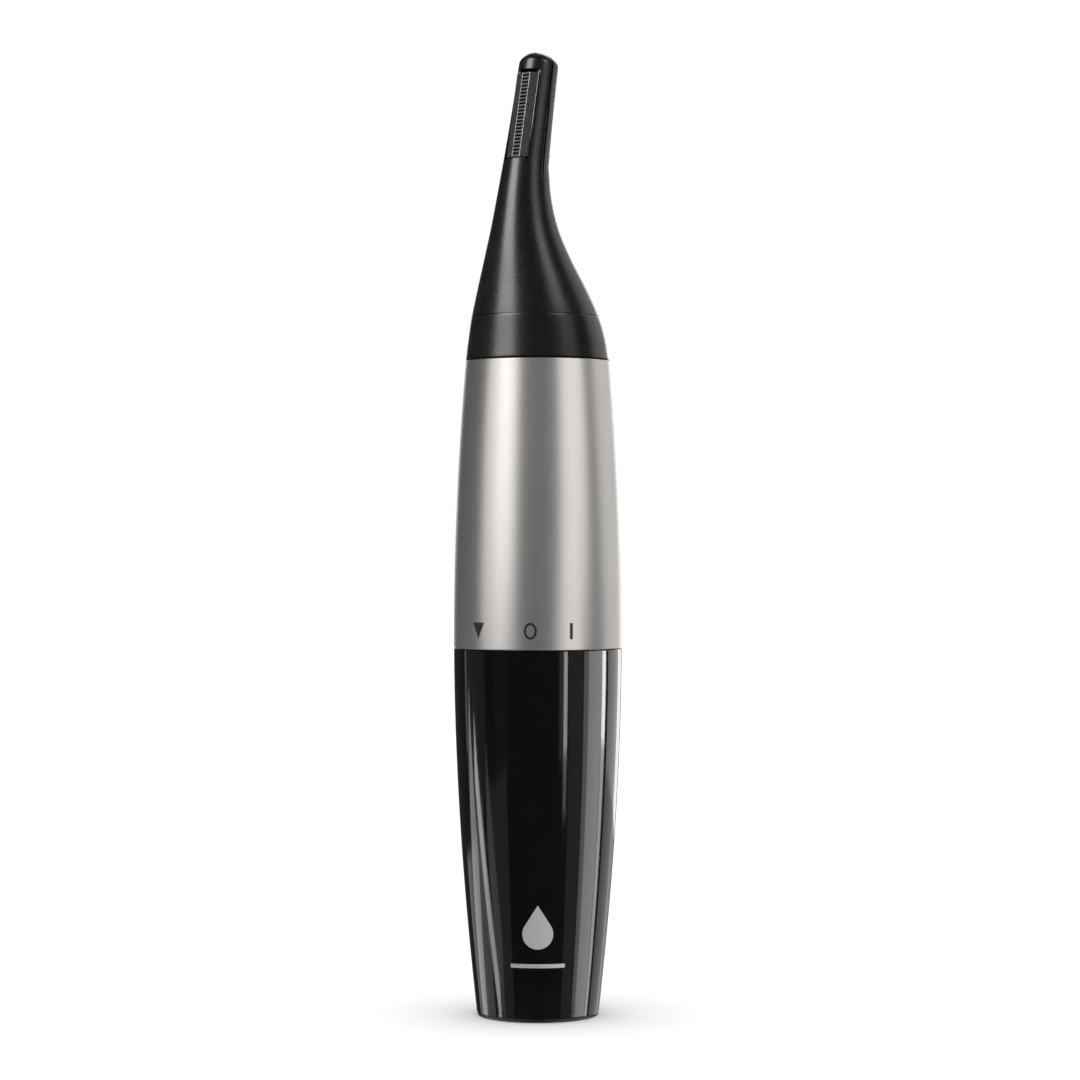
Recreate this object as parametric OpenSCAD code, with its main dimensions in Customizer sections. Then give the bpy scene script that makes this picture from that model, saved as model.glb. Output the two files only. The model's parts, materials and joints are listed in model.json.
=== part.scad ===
// Pen-shaped nose, ear and brow trimmer. A battery cap that is also the twist switch carries a metal barrel
// with the motor in it, and a pull-off head turns the motor's spin into the stroke of a toothed blade.
// Millimetres. Z runs up the body's axis from the flat base, and the blade faces -Y.

/* [Body] */
// Height of the battery cap's rim above the base
cap_top = 55.4; // [55.2:0.1:55.8]
// Height of the barrel's upper edge
barrel_top = 98.8; // [98.7:0.1:99.2]
// Radius of the body at its waist
waist_r = 12.7; // [12.6:0.05:13.2]
// Radius that the body tapers to at the base
base_r = 9.16; // [9.12:0.02:9.5]
// Radius at the barrel's upper edge
shoulder_r = 10.9; // [10.9:0.05:11.2]

/* [Head] */
// Height of the seam between the head's base ring and its shell
seam_z = 105.5; // [105.4:0.1:106]
// How far the neck's end stands in front of the body's axis
tip_shift = 2.98; // [2.9:0.01:3.05]
// Backward lean of the blade's tip, in degrees
tip_tilt = 12; // [11.6:0.1:12.4]
// Radius of the tip where the blade starts
tip_r = 3.5; // [3.45:0.01:3.6]
// Radius of the tip at its shoulder
tip_end_r = 3.04; // [3.02:0.01:3.14]

/* [Blade] */
// Length of the blade's window along the tip
window_l = 14.3; // [14:0.1:14.4]
// Distance from one blade slot to the next
slot_pitch = 0.56; // [0.5:0.01:0.6]
// Number of slots in the blade
slots = 23; // [18:1:23]
// Half of the blade's stroke
half_stroke = 0.4; // [0.3:0.05:0.4]

/* [Switch] */
// Turn of the unlocked mark past the side that the blade faces, in degrees
pointer_turn = -8; // [-12:1:0]
// Turn of the cap from its unlocked mark to off, in degrees
turn_to_off = 39; // [35:1:40]
// Turn of the cap from its unlocked mark to on, in degrees
turn_to_on = 67; // [60:1:70]
// Height of the printed marks above the cap's rim
mark_rise = 2.9; // [2.6:0.1:3.4]

/* [Battery] */
// Radius of the cell, with its wrap
cell_r = 7.12; // [7:0.01:7.25]
// Length of the cell, with its terminal
cell_l = 50.5; // [50:0.1:50.5]

/* [Hidden] */
$fn = 72;

seam_gap = 0.15;          // gap between pieces that turn or pull apart
head_seam = 0.06;         // gap at the glued seam of the head
cut = 1;                  // how far a cutting tool reaches past what it cuts
waist_z = 57;             // height of the widest section
cap_curve = 1.87;         // power that shapes the cap's taper
front = -90;              // direction that the blade and the bayonet's slots face
pointer = front + pointer_turn;
emblem_turn = 36;         // direction of the cap's emblem, past the front

// Battery cap, from the inside out
cap_floor = 2.05;
base_fillet = 0.7;
cell_bore_r = cell_r + 0.48;
tube_bore_r = 9.15;
spigot_bore_r = 10.12;
tube_bore_z = 25;
spigot_bore_z = 43.5;
lug_z = 46;
lug_h = 2;
lug_r = 9.15;
lug_angle = 14;
emblem_z = 13.4;
drop_r = 2.3;
drop_h = 6.6;

// Brass strip up the inside of the cap, in a slot of its own
strip_w = 3;
strip_t = 0.25;
strip_play = 0.05;
strip_turn = 180 - turn_to_on;
strip_low_r = cell_bore_r + strip_play;
strip_high_r = tube_bore_r + strip_play;
strip_top = 41.8;
strip_slot_w = strip_w + 0.2;
strip_slot_t = 0.45;
pip_r = 0.8;
pip_z = 40;

// Cell, standing on the cap's spring
cell_z = 6.75;
cell_top = cell_z + cell_l;
terminal_h = 1.25;
terminal_r = 2.7;
cell_bead = 0.7;          // height of the can's rolled edges
cell_land_r = 5.4;        // flat middle of the can's ends
wrap_t = 0.12;

// Battery tube, which takes the cap, and the collar round it
tube_r = 8.9;
tube_inner_r = cell_r + 0.33;
tube_z = 26;
spigot_r = 10;
spigot_z = 44;
track_r = 9;
bulkhead_z = 57.9;
bulkhead_t = 1.5;
collar_r = 11.1;
collar_top = 71.8;
cap_ring_z = 51.8;
seal_r = 9.3;
seal_wire_r = 0.78;
seal_groove_r = 8.5;

// Contacts and the leads to the motor
contact_t = 0.3;
lead_x = 8;
lead_w = 2.4;
lead_slot_w = 2.6;
pad_z = 38.2;
pad_top = 42.3;
positive_x = 4.6;

// Barrel, motor cup and head spigot
barrel_bore_r = 10;
barrel_low_bore_r = 11.2;
barrel_step_z = 72;
skirt_r = 9.85;
skirt_inner_r = 8.2;
skirt_z = 66;
plate_z = 86;
plate_t = 1.8;
head_spigot_r = 7;
head_spigot_inner_r = 5.6;
head_spigot_top = 103.9;
head_ring_z = 101.3;
head_ring_r = 6.64;
head_ring_wire_r = 0.42;
head_groove_r = 6.2;
key_w = 1.6;
key_y = 7.5;
key_play = 0.12;
flange_z = barrel_top - 2.2;
seal_holder_z = head_spigot_top - 1.5;
seal_holder_bore_r = 3.2;

// Motor, from the rear up
motor_z = 61;
motor_r = 7.7;
motor_wall = 0.6;
end_cap_h = 2.4;
boss_r = 3;
boss_h = 1.5;
boss_bore_r = 2.2;
shaft_r = 0.75;
shaft_clearance = 0.03;
shaft_z = motor_z + 0.9;
shaft_l = 35;
rear_bearing_r = 2;
rear_bearing_z = motor_z + 0.8;
screw_x = 4.25;
screw_r = 0.8;
screw_head_r = 1.25;
screw_head_h = 0.8;
tab_x = 5.1;
tab_t = 0.3;
magnet_z = 67;
magnet_h = 15;
magnet_bore_r = 5.7;
brush_z = 66.7;
brush_r = 2.1;

// Rotor
poles = 3;
core_z = 69;
core_h = 11;
core_hub_r = 2.2;
core_r = 5.4;
shoe_r = 4.4;
pole_w = 1.6;
winding_over = 1;
commutator_z = 64.8;
commutator_h = 2.8;
coupler_z = 89;
coupler_r = 2.6;
coupler_h = 8.5;
coupler_neck_r = 1.75;
hex_r = 1.27;
hex_h = 2.4;

// Drive in the head
socket_r = 7.12;
web_z = 104.2;
web_t = 1.2;
inner_collar_r = 7.6;         // collar of the base ring, inside the shell
inner_collar_bore_r = 6.6;
inner_collar_h = 1.4;
cam_r = 3.3;
cam_z = 106.6;
cam_h = 7;
hex_bore_r = 1.4;
hex_bore_h = 2.7;
journal_r = 2;
journal_play = 0.05;
bush_r = 2.6;
bush_flange_r = 3.5;
groove_z = 110.2;
groove_r = 2.3;
groove_tilt = 8;
pin_r = 0.5;
groove_half_h = 2 * half_stroke + pin_r + 0.15;

// Neck, and the tip of the head in its own leaning frame
seam_shift = 0.5;
tip_z = seam_z + 22.7;
dome_r = 3.6;
dome_s = 14.02;
dome_lean = 0.2;
shoulder_s = dome_s + sqrt(pow(dome_r, 2) - pow(tip_end_r, 2));
parting_y = -0.5;
parting_gap = 0.24;       // groove down each side of the tip
cover_gap = 0.05;         // seam across the lower end of the spine cover
cover_s = -2.3;
window_w = 4.4;
blade_t = 0.3;
blade_half = 2.03;        // half of the outer blade's width
ridge_w = 1.3;
ridge_y = -2.9;
flank_y = -2.46;
blade_gap = 0.02;         // gap between the two blades
moving_w = 2.8;
spring_stop_y = 1.1;
moving_back_y = -1.75;
cavity_w = 3.2;
rod_w = 2.2;
rod_back_y = -0.5;
rod_foot_s = -18.8;
rod_foot_l = 3.6;
rod_foot_in = 0.6;
pin_s = rod_foot_s + 1.2;
pin_end_y = 4;
side_groove_r = 0.3;      // rounded groove where the tip's cover meets the shell
side_groove_low = -2.7;
side_groove_fade = 8.6;   // it fades from here to its upper end
side_groove_top = 10.8;
side_flare = 0.13;        // how fast the neck widens below the tip
blade_low = 0.5;          // gap below the outer blade
slot_l = 1.26;
slot_w = 0.3;
slots_s = (window_l - slot_pitch * (slots - 1)) / 2;

// Neck stations: height, shift towards the blade, radius and lean of each section
NECK = [
    [barrel_top + seam_gap, 0, shoulder_r, 0],
    [102, 0.08, 10.48, 0],
    [seam_z, seam_shift, 9.71, 0],
    [109.6, 1.31, 8.35, 0.5],
    [114.2, 2.43, 6.62, 2],
    [118.7, 3.2, 5.15, 4.5],
    [123.3, 3.37, 4.16, 8],
    [tip_z, tip_shift, tip_r, tip_tilt]
];

// ---- shared functions ----

function body_r(z) = z < waist_z
    ? waist_r - (waist_r - base_r) * pow((waist_z - z) / waist_z, cap_curve)
    : waist_r - (waist_r - shoulder_r) * pow((z - waist_z) / (barrel_top - waist_z), 2);

function body_line(z0, z1, proud = 0, steps = 14) =
    [for (i = [0 : steps]) let (z = z0 + (z1 - z0) * i / steps) [body_r(z) + proud, z]];

function arc(x, y, r, from, to, steps = 8) =
    [for (i = [0 : steps]) let (a = from + (to - from) * i / steps) [x + r * cos(a), y + r * sin(a)]];

// Slope of column c of the neck stations at station k, for a curve that passes through them all
function neck_slope(k, c) =
    let (a = max(k - 1, 0), b = min(k + 1, len(NECK) - 1))
    (NECK[b][c] - NECK[a][c]) / (NECK[b][0] - NECK[a][0]);

function neck_segment(z, k = 0) = k >= len(NECK) - 2 || z <= NECK[k + 1][0] ? k : neck_segment(z, k + 1);

// Column c of the neck at height z, on a cubic through the stations
function neck_at(z, c) =
    let (k = neck_segment(z), h = NECK[k + 1][0] - NECK[k][0], t = (z - NECK[k][0]) / h,
         m0 = neck_slope(k, c) * h, m1 = neck_slope(k + 1, c) * h)
    (2 * pow(t, 3) - 3 * pow(t, 2) + 1) * NECK[k][c] + (pow(t, 3) - 2 * pow(t, 2) + t) * m0
    + (3 * pow(t, 2) - 2 * pow(t, 3)) * NECK[k + 1][c] + (pow(t, 3) - pow(t, 2)) * m1;

// One ring of points: its centre's height and forward shift, its radius and its lean
function ring(z, shift, r, lean, sides) =
    [for (i = [0 : sides - 1]) let (a = 360 * i / sides)
        [r * cos(a), -shift + r * sin(a) * cos(lean), z - r * sin(a) * sin(lean)]];

function neck_ring(z, inset, sides) =
    ring(z, neck_at(z, 1), neck_at(z, 2) - inset, neck_at(z, 3), sides);

// A ring of the straight tip, at distance s along it. Past the shoulder the dome leans to the front.
function tip_ring(s, r, sides) =
    let (lean = dome_lean * pow(max(s - shoulder_s, 0), 2))
    ring(tip_z + s * cos(tip_tilt), tip_shift - s * sin(tip_tilt) + lean, r, tip_tilt, sides);

function tip_radius(s) = s <= shoulder_s
    ? tip_end_r + (tip_r - tip_end_r) * pow(1 - s / shoulder_s, 1.6)
    : sqrt(max(pow(dome_r, 2) - pow(s - dome_s, 2), 0.01));

// A closed solid through a list of rings with the same number of points
module skin(rings) {
    sides = len(rings[0]);
    last = len(rings) - 1;
    points = [for (one = rings) each one];
    walls = [for (k = [0 : last - 1]) for (i = [0 : sides - 1])
        let (a = k * sides + i, b = k * sides + (i + 1) % sides)
        each [[a, b + sides, b], [a, a + sides, b + sides]]];
    bottom = [for (i = [0 : sides - 1]) i];
    top = [for (i = [sides - 1 : -1 : 0]) last * sides + i];
    polyhedron(points, concat(walls, [bottom, top]), convexity = 6);
}

module tube(r_outer, r_inner, z0, z1) {
    translate([0, 0, z0]) difference() {
        cylinder(r = r_outer, h = z1 - z0);
        translate([0, 0, -cut]) cylinder(r = r_inner, h = z1 - z0 + 2 * cut);
    }
}

// A groove round a post, open to the outside
module groove(r_bottom, r_outer, z, h) {
    tube(r_outer + cut, r_bottom, z - h / 2, z + h / 2);
}

// Part of a ring: middle direction and width in degrees
module sector(r_outer, r_inner, z0, z1, middle, width) {
    rotate([0, 0, middle - width / 2]) rotate_extrude(angle = width)
        translate([r_inner, z0]) square([r_outer - r_inner, z1 - z0]);
}

module block(x0, x1, y0, y1, z0, z1) {
    translate([x0, y0, z0]) cube([x1 - x0, y1 - y0, z1 - z0]);
}

module in_tip() {
    translate([0, -tip_shift, tip_z]) rotate([-tip_tilt, 0, 0]) children();
}

// A flat shape standing up at height z, pushed out through the body's skin in one direction
module through_skin(z, direction) {
    rotate([0, 0, direction]) translate([0, 0, z]) rotate([90, 0, 90])
        translate([0, 0, base_r - 3]) linear_extrude(8) children();
}

// The body's skin between two heights, from depth below its surface to proud above it
module skin_band(z0, z1, depth, proud) {
    rotate_extrude()
        polygon(concat(body_line(z0, z1, proud), [for (p = body_line(z1, z0)) p - [depth, 0]]));
}

// ---- battery cap ----

// A water drop with a bar under it, which marks the wet and dry use
module emblem_shape(grow = 0) {
    tangent = asin(drop_r / (drop_h - drop_r));
    polygon(concat(arc(0, 0, drop_r + grow, tangent, tangent - 360 + 180 - 2 * tangent, 24),
                   [[0, drop_h - drop_r + grow * 1.5]]));
    translate([-4 - grow, -5.1 - grow]) square([8 + 2 * grow, 0.6 + 2 * grow]);
}

module strip_slot(bore_r, z0, z1) {
    block(bore_r - 0.3, bore_r + strip_slot_t, -strip_slot_w / 2, strip_slot_w / 2, z0, z1);
}

module cap_shell() color([0.02, 0.02, 0.022]) {
    rim = cap_top - seam_gap / 2;
    difference() {
        union() {
            rotate_extrude() polygon(concat(
                [[0, 0]],
                arc(body_r(base_fillet) - base_fillet, base_fillet, base_fillet, -90, 0),
                body_line(base_fillet + 0.5, rim - 0.12, 0, 22),
                [[body_r(rim) - 0.12, rim], [spigot_bore_r, rim], [spigot_bore_r, spigot_bore_z],
                 [tube_bore_r, spigot_bore_z], [tube_bore_r, tube_bore_z], [cell_bore_r, tube_bore_z],
                 [cell_bore_r, cap_floor], [0, cap_floor]]));
            for (side = [0, 180])
                sector(spigot_bore_r + 0.5, lug_r, lug_z, lug_z + lug_h, front + side, lug_angle);
        }
        rotate([0, 0, strip_turn]) {
            strip_slot(cell_bore_r, cap_floor, tube_bore_z + cut);
            strip_slot(tube_bore_r, tube_bore_z, strip_top + 0.2);
        }
        intersection() {
            through_skin(emblem_z, front + emblem_turn) emblem_shape(0.02);
            skin_band(emblem_z - 7, emblem_z + 7, 0.22, 1);
        }
    }
}

module cap_emblem() color([0.7, 0.7, 0.7]) intersection() {
    through_skin(emblem_z, front + emblem_turn) emblem_shape();
    skin_band(emblem_z - 7, emblem_z + 7, 0.2, 0.01);
}

// Brass strip from under the spring up to the switch's contact
module cap_contact_strip() color([0.75, 0.62, 0.32]) {
    foot_r = 6;
    route = [
        [foot_r - 1, cap_floor], [strip_low_r + strip_t, cap_floor], [strip_low_r + strip_t, tube_bore_z],
        [strip_high_r + strip_t, tube_bore_z], [strip_high_r + strip_t, strip_top], [strip_high_r, strip_top],
        [strip_high_r, tube_bore_z + strip_t], [strip_low_r, tube_bore_z + strip_t],
        [strip_low_r, cap_floor + strip_t], [foot_r - 1, cap_floor + strip_t]
    ];
    translate([0, 0, cap_floor]) cylinder(r = foot_r, h = strip_t);
    rotate([0, 0, strip_turn]) {
        rotate([90, 0, 0]) linear_extrude(strip_w, center = true) polygon(route);
        translate([strip_high_r - 0.08, 0, pip_z]) rotate([0, 90, 0]) cylinder(r = pip_r, h = 0.2);
    }
}

// Conical spring that presses the cell up and carries its current
module cap_spring() color([0.78, 0.78, 0.8]) {
    wire_r = 0.3;
    turns = 3.5;
    steps = 66;
    z0 = cap_floor + strip_t + wire_r + 0.01;
    z1 = cell_z - wire_r - 0.05;
    skin([for (k = [0 : steps])
        let (share = k / steps, a = 360 * turns * share, r = 5.2 - 2 * share, z = z0 + (z1 - z0) * share)
        [for (i = [0 : 7]) let (b = 45 * i)
            [(r + wire_r * cos(b)) * cos(a), (r + wire_r * cos(b)) * sin(a), z + wire_r * sin(b)]]]);
}

// ---- cell ----

module battery_can() color([0.72, 0.73, 0.75]) {
    r = cell_r - wrap_t;
    top = cell_top - terminal_h;
    low = cell_z + cell_bead;
    high = top - cell_bead;
    rotate_extrude() polygon([
        [0, cell_z], [cell_land_r - 0.2, cell_z], [cell_land_r + 0.1, low - 0.4], [r - 0.4, low - 0.4],
        [r, low], [r, high], [r - 0.4, high + 0.4], [cell_land_r, high + 0.4],
        [cell_land_r, high - 0.1], [0, high - 0.1]
    ]);
}

module battery_wrap() color([0.16, 0.17, 0.2])
    tube(cell_r, cell_r - wrap_t, cell_z + cell_bead, cell_top - terminal_h - cell_bead);

module battery_terminal() color([0.82, 0.82, 0.84]) {
    top = cell_top - terminal_h;
    seat = top - cell_bead - 0.1;
    rotate_extrude() polygon([
        [0, seat], [cell_land_r - 0.1, seat], [cell_land_r - 0.1, top], [terminal_r, top],
        [terminal_r, cell_top - 0.3], [terminal_r - 0.3, cell_top], [0, cell_top]
    ]);
}

// ---- barrel ----

module mark_shapes(grow = 0) {
    z = cap_top + mark_rise;
    // Pointer at the unlocked position
    through_skin(z, pointer) offset(delta = grow) polygon([[-1.12, 1.2], [1.12, 1.2], [0, -1.2]]);
    // Ring at the off position
    through_skin(z, pointer + turn_to_off) difference() {
        resize([1.94 + 2 * grow, 2.5 + 2 * grow]) circle(r = 1, $fn = 32);
        resize([1.24 - 2 * grow, 1.8 - 2 * grow]) circle(r = 1, $fn = 32);
    }
    // Bar at the on position
    through_skin(z, pointer + turn_to_on) square([0.46 + 2 * grow, 2.4 + 2 * grow], center = true);
}

module barrel_sleeve() color([0.72, 0.71, 0.69]) {
    low = cap_top + seam_gap / 2;
    difference() {
        rotate_extrude() polygon(concat(
            [[body_r(low) - 0.15, low]],
            body_line(low + 0.15, barrel_top - 0.15, 0, 22),
            [[body_r(barrel_top) - 0.15, barrel_top], [barrel_bore_r, barrel_top],
             [barrel_bore_r, barrel_step_z], [barrel_low_bore_r, barrel_step_z], [barrel_low_bore_r, low]]));
        intersection() {
            mark_shapes(0.02);
            skin_band(low + 0.5, low + 6, 0.17, 1);
        }
    }
}

module switch_marks() color([0.1, 0.1, 0.1]) intersection() {
    mark_shapes();
    skin_band(cap_top + 0.6, cap_top + 6, 0.15, 0.01);
}

module lead_slot(x0, x1, top) {
    block(x0, x1, -lead_slot_w / 2, lead_slot_w / 2, pad_z - 0.3, top);
}

// Tube that holds the cell, widened at its top to the spigot with the cap's bayonet track
module battery_tube() color([0.12, 0.12, 0.13]) {
    track_z = lug_z - 0.2;
    track_top = lug_z + lug_h + 0.2;
    track_sweep = turn_to_on + lug_angle + 2;
    track_middle = front + turn_to_on / 2;
    lead_top = bulkhead_z + bulkhead_t + cut;
    difference() {
        union() {
            tube(tube_r, tube_inner_r, tube_z, spigot_z + cut);
            tube(spigot_r, tube_inner_r, spigot_z, bulkhead_z + cut);
            translate([0, 0, bulkhead_z]) cylinder(r = spigot_r, h = bulkhead_t);
        }
        for (side = [0, 180]) {
            sector(spigot_r + cut, track_r, track_z, track_top, track_middle + side, track_sweep);
            sector(spigot_r + cut, track_r, spigot_z - cut, track_top, front + side, lug_angle + 2);
        }
        groove(seal_groove_r, spigot_r, cap_ring_z, 2 * seal_wire_r + 0.24);
        sector(tube_r + cut, tube_r - 0.2, pad_z - 0.2, pad_top + 0.2, 180, 20);
        lead_slot(-lead_x - contact_t - 0.05, -lead_x + 0.05, lead_top);
        lead_slot(-tube_r - cut, -lead_x - 0.1, pad_z + 0.5);
        block(positive_x - 0.1, positive_x + contact_t + 0.1, -1.6, 1.6, bulkhead_z - cut, lead_top);
    }
}

// Ring that centres the battery tube in the barrel and carries the motor cup
module barrel_collar() color([0.14, 0.14, 0.15]) {
    seat = bulkhead_z + bulkhead_t;
    tube(collar_r, spigot_r, cap_top + 0.3, seat);
    tube(collar_r, skirt_r + 0.1, seat, collar_top);
}

// Cup round the motor, with the plate that the motor is screwed to
module motor_cup() color([0.12, 0.12, 0.13]) {
    difference() {
        union() {
            tube(skirt_r, skirt_inner_r, skirt_z, plate_z + cut);
            translate([0, 0, plate_z]) cylinder(r = skirt_r, h = plate_t);
            tube(skirt_r, skirt_inner_r + 0.2, plate_z + plate_t - 0.5, flange_z);
        }
        translate([0, 0, plate_z - cut]) cylinder(r = boss_r + 0.1, h = plate_t + 2 * cut);
        for (x = [-screw_x, screw_x])
            translate([x, 0, plate_z - cut]) cylinder(r = screw_r + 0.1, h = plate_t + 2 * cut);
    }
}

// Flange that closes the barrel's top, with the keyed spigot that the head is pushed onto
module head_spigot() color([0.14, 0.14, 0.15]) difference() {
    union() {
        tube(skirt_r, head_spigot_inner_r, flange_z, barrel_top - 0.2);
        tube(head_spigot_r, head_spigot_inner_r, barrel_top - cut, head_spigot_top);
        block(-key_w / 2, key_w / 2, head_spigot_r - 0.4, key_y, barrel_top - cut, head_spigot_top - 0.5);
    }
    groove(head_groove_r, head_spigot_r, head_ring_z, 2 * head_ring_wire_r + 0.26);
}

module positive_contact() color([0.75, 0.62, 0.32]) {
    plate = bulkhead_z - contact_t;
    translate([0, 0, plate]) cylinder(r = 4.4, h = contact_t);
    block(0, positive_x + contact_t, -1.5, 1.5, plate, plate + contact_t);
    block(positive_x, positive_x + contact_t, -1.5, 1.5, plate, motor_z - 0.3);
}

// Switch pad on the battery tube, and its lead up to the motor
module switch_contact() color([0.75, 0.62, 0.32]) {
    top = motor_z - 0.5;
    outer = -lead_x - contact_t;
    sector(tube_r + 0.15, tube_r - 0.18, pad_z, pad_top, 180, 18);
    block(outer, -lead_x, -lead_w / 2, lead_w / 2, pad_z, top);
    block(0.05 - tube_r, -lead_x, -lead_w / 2, lead_w / 2, pad_z, pad_z + contact_t);
    block(outer, -tab_x - tab_t / 2, -lead_w / 2, lead_w / 2, top - 0.25, top);
}

module o_ring(middle_r, wire_r, z) {
    translate([0, 0, z]) rotate_extrude() translate([middle_r, 0]) circle(r = wire_r);
}

module cap_o_ring() color([0.08, 0.08, 0.08]) o_ring(seal_r, seal_wire_r, cap_ring_z);

module head_o_ring() color([0.08, 0.08, 0.08]) o_ring(head_ring_r, head_ring_wire_r, head_ring_z);

module seal_holder() color([0.85, 0.85, 0.83]) difference() {
    tube(head_spigot_inner_r - 0.05, seal_holder_bore_r, seal_holder_z, head_spigot_top);
    translate([0, 0, head_spigot_top - 0.3]) cylinder(r = seal_holder_bore_r + 0.3, h = cut);
}

module shaft_seal() color([0.25, 0.12, 0.1])
    tube(seal_holder_bore_r - 0.05, coupler_neck_r + 0.1, seal_holder_z + 0.1, head_spigot_top - 0.2);

// ---- motor ----

module motor_can() color([0.7, 0.71, 0.72]) {
    z0 = motor_z + end_cap_h;
    difference() {
        union() {
            translate([0, 0, z0]) cylinder(r = motor_r, h = plate_z - z0);
            translate([0, 0, plate_z - motor_wall]) cylinder(r = boss_r, h = boss_h + motor_wall);
        }
        translate([0, 0, z0 - cut]) cylinder(r = motor_r - motor_wall, h = plate_z - motor_wall - z0 + cut);
        translate([0, 0, plate_z - 2]) cylinder(r = boss_bore_r, h = 2 + boss_h + cut);
        for (x = [-screw_x, screw_x]) translate([x, 0, plate_z - 2]) cylinder(r = screw_r, h = 2 + cut);
    }
}

module motor_end_cap() color([0.9, 0.9, 0.88]) difference() {
    union() {
        translate([0, 0, motor_z]) cylinder(r = motor_r, h = end_cap_h);
        translate([0, 0, motor_z + end_cap_h - cut])
            cylinder(r = motor_r - motor_wall - 0.05, h = cut + 1.2);
    }
    translate([0, 0, motor_z + end_cap_h]) cylinder(r = 6.2, h = 2);
    translate([0, 0, rear_bearing_z]) cylinder(r = rear_bearing_r, h = end_cap_h);
    for (x = [-tab_x, tab_x]) translate([x, 0, motor_z - cut])
        block(-tab_t / 2 - 0.05, tab_t / 2 + 0.05, -1.1, 1.1, 0, end_cap_h + 2 * cut);
}

module motor_magnets() color([0.3, 0.3, 0.32])
    for (side = [90, 270])
        sector(motor_r - motor_wall - 0.02, magnet_bore_r, magnet_z, magnet_z + magnet_h, side, 128);

module motor_bearings() color([0.65, 0.5, 0.3]) {
    tube(boss_bore_r, shaft_r + shaft_clearance, plate_z - motor_wall, plate_z + boss_h - 0.2);
    tube(rear_bearing_r, shaft_r + shaft_clearance, rear_bearing_z, rear_bearing_z + 1.4);
}

module motor_brushes() color([0.72, 0.5, 0.28])
    for (side = [0, 180]) rotate([0, 0, side]) {
        foot = motor_z + end_cap_h;
        back = brush_r + 0.8;
        leaf = 0.25;
        block(brush_r, back, -0.6, 0.6, brush_z - 1.4, brush_z);
        block(back, back + leaf, -0.5, 0.5, foot, brush_z);
        block(back, tab_x + 0.1, -0.5, 0.5, foot, foot + leaf);
    }

module motor_terminals() color([0.78, 0.66, 0.36])
    for (x = [-tab_x, tab_x])
        block(x - tab_t / 2, x + tab_t / 2, -1, 1, motor_z - 1.2, motor_z + end_cap_h);

module motor_screws() color([0.6, 0.6, 0.62])
    for (x = [-screw_x, screw_x]) translate([x, 0, 0]) {
        seat = plate_z + plate_t;
        shank = 1.6;
        translate([0, 0, plate_z - shank]) cylinder(r = screw_r, h = shank + plate_t);
        difference() {
            translate([0, 0, seat]) cylinder(r = screw_head_r, h = screw_head_h);
            for (turn = [0, 90]) rotate([0, 0, turn])
                block(-0.7, 0.7, -0.12, 0.12, seat + 0.35, seat + screw_head_h + 0.2);
        }
    }

module motor_damper() color([0.15, 0.15, 0.16]) tube(skirt_inner_r, motor_r, skirt_z + 0.5, skirt_z + 5);

// ---- rotor ----

module rotor_core() color([0.45, 0.45, 0.47]) {
    difference() {
        union() {
            translate([0, 0, core_z]) cylinder(r = core_hub_r, h = core_h);
            for (k = [0 : poles - 1]) rotate([0, 0, 360 * k / poles])
                block(1.5, shoe_r + 0.6, -pole_w / 2, pole_w / 2, core_z, core_z + core_h);
            for (k = [0 : poles - 1])
                sector(core_r, shoe_r, core_z, core_z + core_h, 360 * k / poles, 92);
        }
        translate([0, 0, core_z - cut]) cylinder(r = shaft_r, h = core_h + 2 * cut);
    }
}

module rotor_windings() color([0.72, 0.38, 0.18])
    for (k = [0 : poles - 1]) rotate([0, 0, 360 * k / poles]) difference() {
        play = 0.02;
        low = core_z - winding_over;
        high = core_z + core_h + winding_over;
        block(core_hub_r + 0.1, shoe_r - 0.1, -1.75, 1.75, low, high);
        block(core_hub_r, shoe_r, -pole_w / 2 - play, pole_w / 2 + play,
            core_z - play, core_z + core_h + play);
        rotate([0, 0, 60]) block(2, 8, -8, 0.5, low - cut, high + cut);
        rotate([0, 0, -60]) block(2, 8, -0.5, 8, low - cut, high + cut);
    }

module commutator() color([0.7, 0.42, 0.24]) difference() {
    tube(brush_r - 0.1, shaft_r, commutator_z, commutator_z + commutator_h);
    for (k = [0 : poles - 1]) rotate([0, 0, 360 * k / poles + 60])
        block(1.5, 3, -0.15, 0.15, commutator_z - cut, commutator_z + commutator_h - 0.6);
}

module motor_shaft() color([0.75, 0.75, 0.77])
    translate([0, 0, shaft_z]) cylinder(r = shaft_r, h = shaft_l);

// Coupler on the shaft's end, with a hexagonal key that the head's cam slides over
module drive_coupler() color([0.86, 0.86, 0.84]) {
    neck_z = coupler_z + coupler_h - 0.5;
    difference() {
        union() {
            translate([0, 0, coupler_z]) cylinder(r = coupler_r, h = coupler_h);
            translate([0, 0, neck_z]) cylinder(r = coupler_neck_r, h = head_spigot_top + 0.1 - neck_z);
            translate([0, 0, head_spigot_top]) cylinder(r = hex_r, h = hex_h, $fn = 6);
        }
        translate([0, 0, coupler_z - cut]) cylinder(r = shaft_r, h = shaft_z + shaft_l - coupler_z + cut);
    }
}

// ---- head ----

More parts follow.
